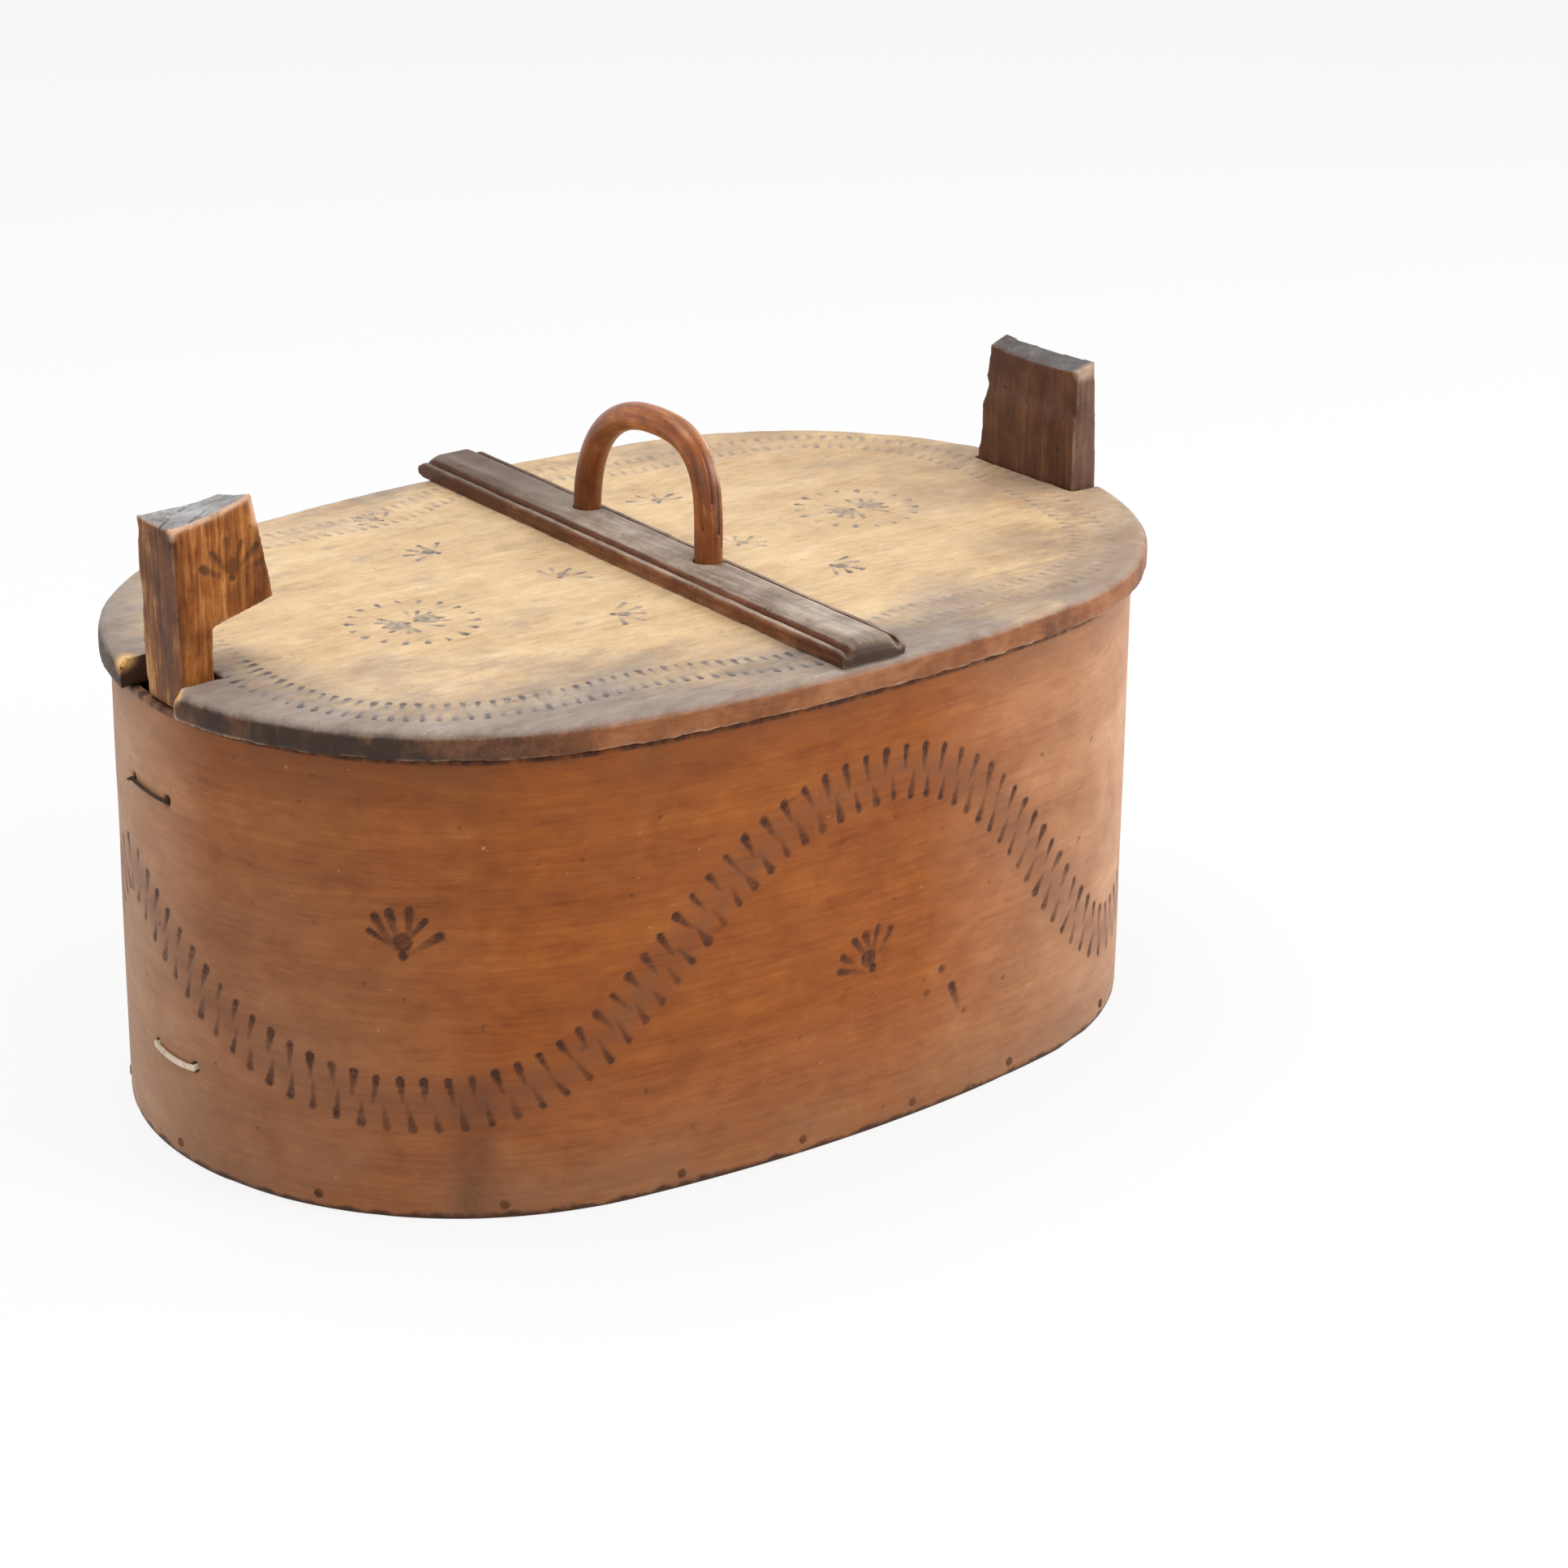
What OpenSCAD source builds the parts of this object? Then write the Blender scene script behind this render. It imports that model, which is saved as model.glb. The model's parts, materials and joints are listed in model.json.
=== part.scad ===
// Norwegian tine: an oval bentwood box. Its lid is held between two upright posts.
// Origin: centre of the underside. +X runs to the snap post, +Z is up. Millimetres.

/* [Body] */
// Length of the bentwood body, outside
body_len = 448; // [370:1:540]
// Width of the body, outside
body_w = 294; // [244:1:354]
// Height of the bentwood wall
body_h = 188; // [150:1:225]
// Thickness of the bent band
wall_t = 4; // [3:0.5:5]
// Radius of the oval's ends, as a share of half its width
end_fullness = 0.949; // [0.85:0.001:0.975]
// Thickness of the bottom board
bottom_t = 12; // [9:0.5:16]

/* [Lap seam] */
// Overlap of the band's two ends
lap_len = 76; // [60:1:100]
// How far the outer end stands proud at the seam
lap_step = 2.4; // [1.5:0.1:3.2]
// Height between two holes of the root lacing
lace_pitch = 12; // [10:0.5:14]
// Width of the split root
root_w = 3.2; // [2.4:0.1:4]

/* [Lid] */
// Thickness of the lid board
lid_t = 12; // [10:0.5:15]
// Lid overhang at each end
over_end = 6; // [4:0.5:10]
// Lid overhang at each side
over_side = 3; // [2:0.5:6]
// Bevel round the lid's upper edge
lid_bevel = 3; // [1:0.5:4]
// Tilt of the lid when it is lifted at the snap end
lid_tilt = 9; // [3:0.5:9]

/* [Batten] */
// Width of the moulded cross batten
batten_w = 32; // [28:1:38]
// Height of the batten above the lid
batten_h = 9.5; // [8:0.5:12]
// Place of the batten along the lid
batten_x = 7; // [-12:1:12]
// Turn of the batten from square across the lid, degrees
batten_turn = 2.2; // [-4:0.1:4]
// How far the batten's far end stands out past the lid
batten_over = 5.5; // [0:0.5:8]

/* [Handle] */
// Distance between the two legs, from middle to middle
bow_span = 86.5; // [72:0.5:104]
// Height of the bow above the batten, to the middle of the rod
bow_rise = 49; // [46:0.5:60]
// Radius of the bow's far shoulder
far_shoulder_r = 42; // [32:0.5:43]
// Radius of its near shoulder, which is bent tighter
near_shoulder_r = 24; // [20:0.5:38]
// Diameter of the bent rod
rod_d = 11.8; // [10:0.1:13]
// Place of the bow along the batten
handle_y = 8.75; // [-15:0.25:15]
// Place of the bow across the batten
handle_side = 4; // [-6:0.5:6]

/* [Keeper post] */
// Thickness of the keeper's neck
keeper_t = 15; // [13:0.5:16]
// Width of the keeper's neck
keeper_w = 26; // [22:0.5:30]
// Height of the keeper above the lid, at the lowest of its hollow top
keeper_h = 60; // [50:0.5:66]
// Reach of the hook over the lid, from the neck
hook_reach = 27.5; // [20:0.5:32]
// Space between the lid and the hook, at the neck
hook_gap = 18.8; // [17:0.2:24]

/* [Snap post] */
// Thickness of the snap post's head
snap_t = 14; // [12:0.5:15]
// Width of the snap post
snap_w = 61.5; // [50:0.5:66]
// Height of the snap post above the lid, at its outer edge
snap_h = 55.5; // [40:0.5:64]
// How far the snap post springs outwards, degrees
snap_flex = 1; // [0.6:0.1:1.2]

/* [Hidden] */
$fn = 120;

far = 400;                          // longer than any cut needs
half_l = body_len / 2;
half_w = body_w / 2;
end_r = round(end_fullness * half_w);
end_c = half_l - end_r;             // centre of an end arc, from the origin
side_k = side_centre(half_l, half_w, end_r);
side_r = half_w + side_k;           // radius of the long sides
lid_half_l = half_l + over_end;
lid_half_w = half_w + over_side;
lid_end_r = round(end_fullness * lid_half_w);
lid_top = body_h + lid_t;
wall_in_x = half_l - wall_t;        // inner face of the wall at the tips

peg_d = 4.2;
peg_len = 18;
peg_z = bottom_t / 2;
side_peg_angles = [-7.5, -2.5, 2.5, 7.5];
end_peg_angles = [-60, -30, 0, 30, 60];

lap_turn = atan(lap_step / lap_len);
lace_d = 2.4;
lace_hole_d = 2.8;
root_t = 1.3;
root_gap = 0.06;                    // the root lies on the wood with hardly any air
lace_rows = [lap_len / 2 - 9, -2];  // both rows of lacing, along X
lace_z0 = 22;
lace_steps = floor((body_h - lace_z0 - 14) / lace_pitch / 2) * 2;

stitch_d = 2.6;
stitch_w = 3.4;
stitch_t = 1.4;
keeper_stitch_low = [-12.4, 15.2, 43];    // first leg's y, second leg's y, height
keeper_stitch_up = [-1, 28, body_h - 38];
snap_stitch_y = 14;
snap_pivot_z = 43;

keeper_y0 = -12.3;                  // front face of the neck
keeper_in_x = -(wall_in_x + 2) + keeper_t;
keeper_stem_x = -(wall_in_x - 11);  // inner face of the keeper's stem
stem_y0 = -22;
stem_y1 = 34;
hook_rise = 7.2;                    // rise of the hook's underside towards its tip
tip_lean = 12;                      // lean of the hook's end face, degrees
hollow_r = 69;                      // the keeper's top is a hollow that runs across it at 45 degrees
hollow_mid = [-(half_l - 8.9), 9.5];
keeper_gap = lid_t * sin(lid_tilt) + 0.5;   // lid notch to keeper, room for the tilt
keeper_notch_y = [-14.5, 26];

snap_y0 = -30;                      // front edge of the snap post
snap_taper = 4.5;                   // its back edge comes forward by this much towards the top
snap_out_x = half_l + 1.4;          // outer face of the head, level with the lid's top
snap_in_x = snap_out_x - snap_t;
snap_lean = 2.5;
snap_step_z = lid_top + 31;         // above this the head is thinner on its inner side
snap_step = 1.4;
snap_slope = 20.7;                  // the head's top rises outwards by this angle
snap_dip = 1.4;                     // and is hollow by this much along the post's width
snap_gap = 1.4;                     // lid notch to snap post
snap_pivot_x = wall_in_x - 5.5;
rim_gap = 0.6;                      // air under the head's shoulder
flex_gap = 0.35;                    // air between the stem and the wall
snap_notch_y = [snap_y0 - snap_gap, snap_y0 + snap_w + snap_gap];
lid_x = (horn(keeper_notch_y[0]) - horn(snap_notch_y[0])) / 2;  // both ends reach as far

tenon_d = 9.5;
leg_seat = 2;                       // the legs' shoulders are let into the batten
tenon_stand = 3;                    // the tenons stand out below the lid
wedge_h = 8;
batten_peg_d = 5;
batten_peg_y = [25 - lid_half_w, -80, 96, lid_half_w - 20];
bow_z = lid_top + batten_h + bow_rise;
near_leg_y = handle_y - bow_span / 2;
far_leg_y = handle_y + bow_span / 2;

wood_wall = [0.70, 0.42, 0.20];
wood_lid = [0.78, 0.62, 0.42];
wood_batten = [0.38, 0.25, 0.18];
wood_keeper = [0.68, 0.38, 0.14];
wood_snap = [0.30, 0.16, 0.10];
wood_bow = [0.62, 0.31, 0.13];
wood_pale = [0.80, 0.68, 0.48];
root_pale = [0.86, 0.80, 0.68];
root_dark = [0.20, 0.13, 0.09];

// ---- the oval ------------------------------------------------------------------------

// Distance of the long sides' centres from the middle, so that they meet the ends smoothly
function side_centre(a, b, r) = (pow(a - r, 2) - pow(b - r, 2)) / (2 * (b - r));

// Reach of the lid's end past the centre of its end arc, at this y
function horn(y) = sqrt(pow(lid_end_r, 2) - pow(y, 2));

// A disc with a bevelled upper edge
module disc(r, h, bevel) {
    rotate_extrude($fn = 360)
        polygon([[0, 0], [r, 0], [r, h - bevel], [r - bevel, h], [0, h]]);
}

// A four-arc oval of half length a, half width b and end radius r, its upper edge bevelled
module oval(a, b, r, h, bevel = 0) {
    c = a - r;
    k = side_centre(a, b, r);
    reach = max(0.4, (b + 10) / k);
    edge = [c * (1 + reach), k * reach];    // out past the point where two arcs meet
    for (s = [-1, 1]) {
        intersection() {
            translate([0, -s * k, 0])
                disc(b + k, h, bevel);
            linear_extrude(h)
                polygon([[-c, 0], [c, 0], [edge[0], s * edge[1]], [-edge[0], s * edge[1]]]);
        }
        intersection() {
            translate([s * c, 0, 0])
                disc(r, h, bevel);
            linear_extrude(h)
                polygon([[s * c, 0], [s * edge[0], edge[1]], [s * (c + 2 * r), edge[1]],
                    [s * (c + 2 * r), -edge[1]], [s * edge[0], -edge[1]]]);
        }
    }
}

// The body's oval, drawn in by an even amount all round
module body_oval(inset, h) {
    oval(half_l - inset, half_w - inset, end_r - inset, h);
}

// A block between two corners
module block(low, high) {
    translate(low)
        cube(high - low);
}

// A rod along X that starts at point p
module rod_x(p, d, length) {
    translate(p)
        rotate([0, 90, 0])
            cylinder(d = d, h = length);
}

// ---- body ----------------------------------------------------------------------------

// The outer end of the band lies over the seam as a flap that gets thicker to its edge
module lap_flap() {
    start = [-lap_len / 2, side_r * cos(asin(lap_len / 2 / side_r)) - side_k, 0];
    intersection() {
        translate(start)
            rotate([0, 0, lap_turn])
                translate(-start)
                    translate([0, -side_k, 0])
                        cylinder(r = side_r, h = body_h);
        block([-lap_len / 2, half_w - 12, 0], [lap_len / 2, half_w + 12, body_h]);
    }
}

// Puts something at each peg of the bottom board, pointing outwards along X
module at_bottom_pegs() {
    for (s = [-1, 1])
        for (a = side_peg_angles)
            translate([0, -s * side_k, peg_z])
                rotate([0, 0, s * 90 + a])
                    translate([side_r, 0, 0])
                        children();
    for (s = [0, 180])
        for (a = end_peg_angles)
            rotate([0, 0, s])
                translate([end_c, 0, peg_z])
                    rotate([0, 0, a])
                        translate([end_r, 0, 0])
                            children();
}

module bottom_peg_rods() {
    at_bottom_pegs()
        rod_x([-peg_len, 0, 0], peg_d, peg_len + 0.3);
}

module at_lace_holes() {
    for (x = lace_rows)
        for (i = [0 : lace_steps])
            translate([x, 0, lace_z0 + i * lace_pitch])
                children();
}

module wall_band() {
    color(wood_wall)
        difference() {
            union() {
                body_oval(0, body_h);
                lap_flap();
            }
            translate([0, 0, -1])
                body_oval(wall_t, body_h + 2);
            bottom_peg_rods();
            at_lace_holes()
                translate([0, half_w - 12, 0])
                    rotate([-90, 0, 0])
                        cylinder(d = lace_hole_d, h = 24);
            keeper_stitch_holes(stitch_d);
            snap_stitch_holes(stitch_d);
        }
}

module bottom_board() {
    color(wood_pale)
        difference() {
            body_oval(wall_t, bottom_t);
            bottom_peg_rods();
        }
}

module bottom_pegs() {
    color(wood_pale)
        bottom_peg_rods();
}

// One row of running stitches: the root goes through the lap at each hole and lies
// outside and inside by turns
module lace_row(x) {
    on_arc = side_r * cos(asin(x / side_r)) - side_k;
    outside = on_arc + (x + lap_len / 2) * tan(lap_turn) + root_gap;
    inside = (side_r - wall_t) * cos(asin(x / (side_r - wall_t))) - side_k - root_gap;
    for (i = [0 : lace_steps]) {
        z = lace_z0 + i * lace_pitch;
        translate([x, inside - root_t, z])
            rotate([-90, 0, 0])
                cylinder(d = lace_d, h = outside - inside + 2 * root_t);
        if (i < lace_steps)
            translate([x - root_w / 2, i % 2 == 0 ? outside : inside - root_t, z - lace_d / 2])
                cube([root_w, root_t, lace_pitch + lace_d]);
    }
}

module lap_lacing() {
    color(root_pale)
        for (x = lace_rows)
            lace_row(x);
}

// ---- posts ---------------------------------------------------------------------------

// A stitch across the end of the box: a strip on the curved wall, two legs through wall
// and stem, and a strip on the stem's inner face at x = stem_x. side is -1 or 1.
module end_stitch(side, y0, y1, z, stem_x) {
    reach = end_r + stitch_t + root_gap;
    leg_end = side * (half_l + root_gap);
    inner = side * (abs(stem_x) - root_gap);
    translate([0, 0, z - stitch_w / 2])
        intersection() {
            translate([side * end_c, 0, 0])
                difference() {
                    cylinder(r = reach, h = stitch_w);
                    translate([0, 0, -1])
                        cylinder(r = end_r + root_gap, h = stitch_w + 2);
                }
            block([side > 0 ? end_c : -far, y0 - stitch_d / 2, -1],
                [side > 0 ? far : -end_c, y1 + stitch_d / 2, stitch_w + 1]);
        }
    for (y = [y0, y1])
        rod_x([min(leg_end, inner - side * stitch_t), y, z], stitch_d,
            abs(leg_end - inner) + stitch_t);
    translate([side > 0 ? inner - stitch_t : inner, y0 - stitch_d / 2, z - stitch_w / 2])
        cube([stitch_t, y1 - y0 + stitch_d, stitch_w]);
}

module keeper_stitch_holes(d) {
    for (s = [keeper_stitch_low, keeper_stitch_up])
        for (y = [s[0], s[1]])
            rod_x([-far, y, s[2]], d, far - 150);
}

module snap_stitch_holes(d) {
    for (y = [-snap_stitch_y, snap_stitch_y])
        rod_x([150, y, snap_pivot_z], d, far);
}

// Side outline of the keeper's head, seen along Y, up past its hollow top
function keeper_outline() = [
    [-(wall_in_x + 2), body_h],
    [-(wall_in_x + 4.3), lid_top + keeper_h + 12],
    [keeper_in_x + hook_reach - (keeper_h + 12 - hook_gap - hook_rise) * tan(tip_lean),
        lid_top + keeper_h + 12],
    [keeper_in_x + hook_reach, lid_top + hook_gap + hook_rise],
    [keeper_in_x - 0.2, lid_top + hook_gap],
    [keeper_in_x, body_h]
];

module keeper_head() {
    difference() {
        translate([0, keeper_y0 + keeper_w, 0])
            rotate([90, 0, 0])
                linear_extrude(keeper_w)
                    polygon(keeper_outline());
        translate([hollow_mid[0], hollow_mid[1], lid_top + keeper_h + hollow_r])
            rotate([0, 90, 45])
                cylinder(r = hollow_r, h = far, center = true);
    }
}

module keeper_post() {
    neck_z = body_h - 2;
    color(wood_keeper)
        difference() {
            union() {
                keeper_head();
                intersection() {
                    body_oval(wall_t, body_h);
                    union() {
                        block([-half_l, keeper_y0, body_h - 34],
                            [keeper_in_x, keeper_y0 + keeper_w, body_h]);
                        translate([-half_l, 0, 0])
                            rotate([90, 0, 90])
                                linear_extrude(half_l + keeper_stem_x)
                                    polygon([[stem_y0, bottom_t], [stem_y1, bottom_t],
                                        [stem_y1, neck_z - 16], [keeper_y0 + keeper_w, neck_z],
                                        [keeper_y0, neck_z], [stem_y0, neck_z - 8]]);
                    }
                }
            }
            keeper_stitch_holes(stitch_d);
        }
}

module keeper_stitch_upper() {
    color(root_dark)
        end_stitch(-1, keeper_stitch_up[0], keeper_stitch_up[1], keeper_stitch_up[2], keeper_stem_x);
}

module keeper_stitch_lower() {
    color(root_pale)
        end_stitch(-1, keeper_stitch_low[0], keeper_stitch_low[1], keeper_stitch_low[2], keeper_stem_x);
}

// Turns something about the snap post's pivot. A positive angle springs it outwards.
module about_pivot(angle) {
    pivot = [snap_pivot_x, 0, snap_pivot_z];
    translate(pivot)
        rotate([0, angle, 0])
            translate(-pivot)
                children();
}

// Front outline of the snap post, seen along X, up past its hollow top
function snap_front() = [
    [snap_y0, bottom_t + 0.8],
    [snap_y0 + snap_w, bottom_t + 0.8],
    [snap_y0 + snap_w, lid_top + 5],
    [snap_y0 + snap_w - snap_taper, lid_top + snap_h + 3],
    [snap_y0, lid_top + snap_h + 3]
];

// Side outline of the snap post, seen along Y, with its outer face drawn right down
function snap_side() = [
    [snap_in_x, bottom_t],
    [snap_in_x, snap_step_z],
    [snap_in_x + snap_step, snap_step_z],
    [snap_in_x + snap_step, lid_top + snap_h + 3],
    [snap_out_x - (snap_h + 3) * tan(snap_lean), lid_top + snap_h + 3],
    [snap_out_x + (lid_top - bottom_t) * tan(snap_lean), bottom_t]
];

module snap_plate() {
    chord = snap_w - snap_taper;
    dip_r = (pow(chord / 2, 2) + pow(snap_dip, 2)) / (2 * snap_dip);
    difference() {
        intersection() {
            rotate([90, 0, 90])
                linear_extrude(far)
                    polygon(snap_front());
            translate([0, snap_w, 0])
                rotate([90, 0, 0])
                    linear_extrude(2 * snap_w)
                        polygon(snap_side());
        }
        translate([snap_out_x - snap_h * tan(snap_lean), snap_y0 + chord / 2, lid_top + snap_h - snap_dip])
            rotate([0, -snap_slope, 0])
                translate([0, 0, dip_r])
                    rotate([0, 90, 0])
                        cylinder(r = dip_r, h = 80, center = true);
    }
}

module snap_post() {
    rim = body_h + rim_gap;
    color(wood_snap)
        difference() {
            union() {
                intersection() {
                    snap_plate();
                    body_oval(wall_t + flex_gap, rim + 0.5);
                    about_pivot(-snap_flex)
                        translate([0, 0, -50])
                            body_oval(wall_t + flex_gap, body_h + 100);
                }
                intersection() {
                    snap_plate();
                    block([0, -snap_w, rim], [far, snap_w, far]);
                }
            }
            snap_stitch_holes(stitch_d + 1.1);
        }
}

module snap_stitch() {
    color(root_pale)
        end_stitch(1, -snap_stitch_y, snap_stitch_y, snap_pivot_z, snap_in_x - 0.3);
}

// ---- lid -----------------------------------------------------------------------------

// Puts something in place on the batten, which lies a little askew on the lid
module on_batten() {
    translate([batten_x, 0, 0])
        rotate([0, 0, -batten_turn])
            children();
}

// Puts something at the middle of each leg of the handle
module at_legs() {
    for (y = [near_leg_y, far_leg_y])
        on_batten()
            translate([handle_side, y, 0])
                children();
}

module at_batten_pegs() {
    for (y = batten_peg_y)
        on_batten()
            translate([0, y, body_h])
                children();
}

module lid_board() {
    color(wood_lid)
        difference() {
            translate([lid_x, 0, body_h])
                oval(lid_half_l, lid_half_w, lid_end_r, lid_t, lid_bevel);
            block([-far, keeper_notch_y[0], 0], [keeper_in_x + keeper_gap, keeper_notch_y[1], far]);
            block([snap_in_x - snap_gap, snap_notch_y[0], 0], [far, snap_notch_y[1], far]);
            at_legs()
                cylinder(d = tenon_d, h = far);
            at_batten_pegs()
                translate([0, 0, -1])
                    cylinder(d = batten_peg_d, h = far);
        }
}

// A rod along the batten, x from its middle line and z above the lid
module along_batten(x, z, r) {
    on_batten()
        translate([x, lid_half_w + batten_over, lid_top + z])
            rotate([90, 0, 0])
                cylinder(r = r, h = 2 * lid_half_w + batten_over);
}

// The batten has a flat crown between two grooves, and a bead along each edge
module lid_batten() {
    chamfer = 2.5;
    bead_r = 1.8;
    bead_x = batten_w / 2 - bead_r;
    bead_z = batten_h - 4.3;
    side_x = batten_w / 2 - 0.4;
    foot_x = bead_x - 2;
    color(wood_batten)
        difference() {
            union() {
                on_batten()
                    translate([0, lid_half_w + batten_over, lid_top])
                        rotate([90, 0, 0])
                            linear_extrude(2 * lid_half_w + batten_over)
                                polygon([[-side_x, 0], [-side_x, bead_z - 0.5],
                                    [-foot_x, bead_z - 0.5], [2 - foot_x, batten_h - 1.6],
                                    [-7, batten_h], [7, batten_h], [foot_x - 2, batten_h - 1.6],
                                    [foot_x, bead_z - 0.5], [side_x, bead_z - 0.5], [side_x, 0]]);
                for (s = [-1, 1])
                    along_batten(s * bead_x, bead_z, bead_r);
            }
            for (s = [-1, 1])
                along_batten(s * foot_x, bead_z + 0.5, 0.9);
            for (y = [-lid_half_w, lid_half_w + batten_over])
                on_batten()
                    translate([0, y, lid_top + batten_h])
                        rotate([45, 0, 0])
                            cube([2 * batten_w, chamfer * sqrt(2), chamfer * sqrt(2)], center = true);
            at_legs()
                cylinder(d = tenon_d, h = far);
            at_legs()
                translate([0, 0, lid_top + batten_h - leg_seat])
                    cylinder(d = rod_d, h = far);
            at_batten_pegs()
                cylinder(d = batten_peg_d, h = lid_t + 5);
        }
}

module batten_pegs() {
    color(wood_pale)
        at_batten_pegs()
            cylinder(d = batten_peg_d, h = lid_t + 5);
}

// A thin wedge across the end of a tenon, its edge up
module wedge_blade(length) {
    translate([0, length / 2, body_h - tenon_stand])
        rotate([90, 0, 0])
            linear_extrude(length)
                polygon([[-1.3, 0], [1.3, 0], [0.3, wedge_h], [-0.3, wedge_h]]);
}

// A quarter turn of the bow. It starts towards +Y from the middle of its arc, or straight
// up when first is 90
module shoulder(y, r, first) {
    translate([handle_side, y, bow_z - r])
        rotate([90, 0, 90])
            rotate([0, 0, first])
                rotate_extrude(angle = 90)
                    translate([r, 0])
                        circle(d = rod_d);
}

module leg(y, r) {
    foot = lid_top + batten_h - leg_seat;
    translate([handle_side, y, foot])
        cylinder(d = rod_d, h = bow_z - r - foot);
    translate([handle_side, y, body_h - tenon_stand])
        cylinder(d = tenon_d, h = foot - body_h + tenon_stand);
}

module handle_bow() {
    color(wood_bow)
        difference() {
            on_batten()
                union() {
                    leg(near_leg_y, near_shoulder_r);
                    leg(far_leg_y, far_shoulder_r);
                    shoulder(near_leg_y + near_shoulder_r, near_shoulder_r, 90);
                    shoulder(far_leg_y - far_shoulder_r, far_shoulder_r, 0);
                    translate([handle_side, far_leg_y - far_shoulder_r, bow_z])
                        rotate([90, 0, 0])
                            cylinder(d = rod_d, h = bow_span - near_shoulder_r - far_shoulder_r);
                }
            at_legs()
                wedge_blade(tenon_d + 2);
        }
}

module handle_wedges() {
    color(wood_pale)
        at_legs()
            intersection() {
                wedge_blade(tenon_d + 2);
                cylinder(d = tenon_d, h = far);
            }
}

wall_band();
bottom_board();
bottom_pegs();
lap_lacing();
keeper_post();
keeper_stitch_upper();
keeper_stitch_lower();
snap_post();
snap_stitch();
lid_board();
lid_batten();
batten_pegs();
handle_bow();
handle_wedges();
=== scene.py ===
# Norwegian tine box: an oval bentwood box with a burnt and stamped pattern.
import json
import math
import bpy
import numpy as np
from mathutils import Matrix, Vector


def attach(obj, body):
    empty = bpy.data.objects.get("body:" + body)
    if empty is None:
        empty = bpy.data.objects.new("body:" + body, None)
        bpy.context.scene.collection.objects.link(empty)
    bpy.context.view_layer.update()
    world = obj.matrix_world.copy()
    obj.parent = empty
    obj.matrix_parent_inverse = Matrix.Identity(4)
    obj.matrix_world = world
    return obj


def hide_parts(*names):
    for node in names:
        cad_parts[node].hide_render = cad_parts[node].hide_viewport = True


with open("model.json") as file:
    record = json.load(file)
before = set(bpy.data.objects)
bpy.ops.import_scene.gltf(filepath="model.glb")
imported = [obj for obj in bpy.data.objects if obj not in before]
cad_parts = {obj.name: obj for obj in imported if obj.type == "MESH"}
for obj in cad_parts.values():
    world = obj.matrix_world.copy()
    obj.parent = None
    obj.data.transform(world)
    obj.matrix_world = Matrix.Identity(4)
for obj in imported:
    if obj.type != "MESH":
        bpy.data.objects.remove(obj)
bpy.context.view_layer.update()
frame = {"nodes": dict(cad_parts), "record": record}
NODES = frame["nodes"]
scene = bpy.context.scene

# ---- sizes that repeat part.scad, in metres ------------------------------------------
MM = 0.001


def oval(half_length, half_width, end_r):
    """A four-arc oval: the distance of its end arcs' centres from the middle, that of its side
    arcs' centres, and the side arcs' radius."""
    end_c = half_length - end_r
    gap = half_width - end_r
    side_k = (end_c ** 2 / gap - gap) / 2
    return end_c, side_k, half_width + side_k


END_R, LID_END_R = 140 * MM, 142 * MM
END_C, SIDE_K, SIDE_R = oval(224 * MM, 147 * MM, END_R)
LID_END_C, LID_SIDE_K, LID_SIDE_R = oval(230 * MM, 150 * MM, LID_END_R)
LID_X = 1.39 * MM                         # middle of the lid
BODY_H, WALL_T, LID_T = 188 * MM, 4 * MM, 12 * MM
LID_TOP = BODY_H + LID_T
LAP_X, LAP_STEP = 38 * MM, 2.4 * MM       # half length of the lap seam, its step
BATTEN_X, BATTEN_TURN, BATTEN_H = 7 * MM, math.radians(2.2), 9.5 * MM
BOW_SIDE = 4 * MM                         # the handle stands off the batten's middle line
BOW_Z = LID_TOP + BATTEN_H + 49 * MM      # top of the rod's middle line
NEAR_LEG, FAR_LEG = -34.5 * MM, 52 * MM   # the legs' places along the batten
NEAR_R, FAR_R, ROD_R = 24 * MM, 42 * MM, 5.9 * MM    # radii of both shoulders and of the rod


# ---- camera, fitted to the photograph ------------------------------------------------
PHOTO_PX, FOCAL_PX, SENSOR_MM = 1932, 5199.16, 36.0
CAMERA_PLACE = (-0.9788, -1.3059, 0.7395)
CAMERA_RIGHT = (0.7800, -0.6257, 0.0112)
CAMERA_BACK = (-0.5863, -0.7244, 0.3626)


def make_camera():
    back = Vector(CAMERA_BACK).normalized()
    up = back.cross(Vector(CAMERA_RIGHT)).normalized()
    right = up.cross(back).normalized()
    data = bpy.data.cameras.new("camera")
    data.sensor_width = SENSOR_MM
    data.lens = FOCAL_PX / PHOTO_PX * SENSOR_MM
    data.clip_start = 0.05
    data.clip_end = 50.0
    camera = bpy.data.objects.new("camera", data)
    scene.collection.objects.link(camera)
    turn = Matrix((right, up, back)).transposed().to_4x4()
    camera.matrix_world = Matrix.Translation(CAMERA_PLACE) @ turn
    scene.camera = camera


make_camera()


# ---- meshes --------------------------------------------------------------------------
def lattice(x, y, z, seed):
    """A fixed number from 0 to 1 for each whole-numbered point, by an integer hash."""
    n = (x * 73856093) ^ (y * 19349663) ^ (z * 83492791) ^ (seed * 26544357)
    n = (n ^ (n >> 13)) & 0x7FFFFFFF
    n = (n * ((n * n * 15731 + 789221) & 0x7FFFFFFF) + 1376312589) & 0x7FFFFFFF
    return n / 0x7FFFFFFF


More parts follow.
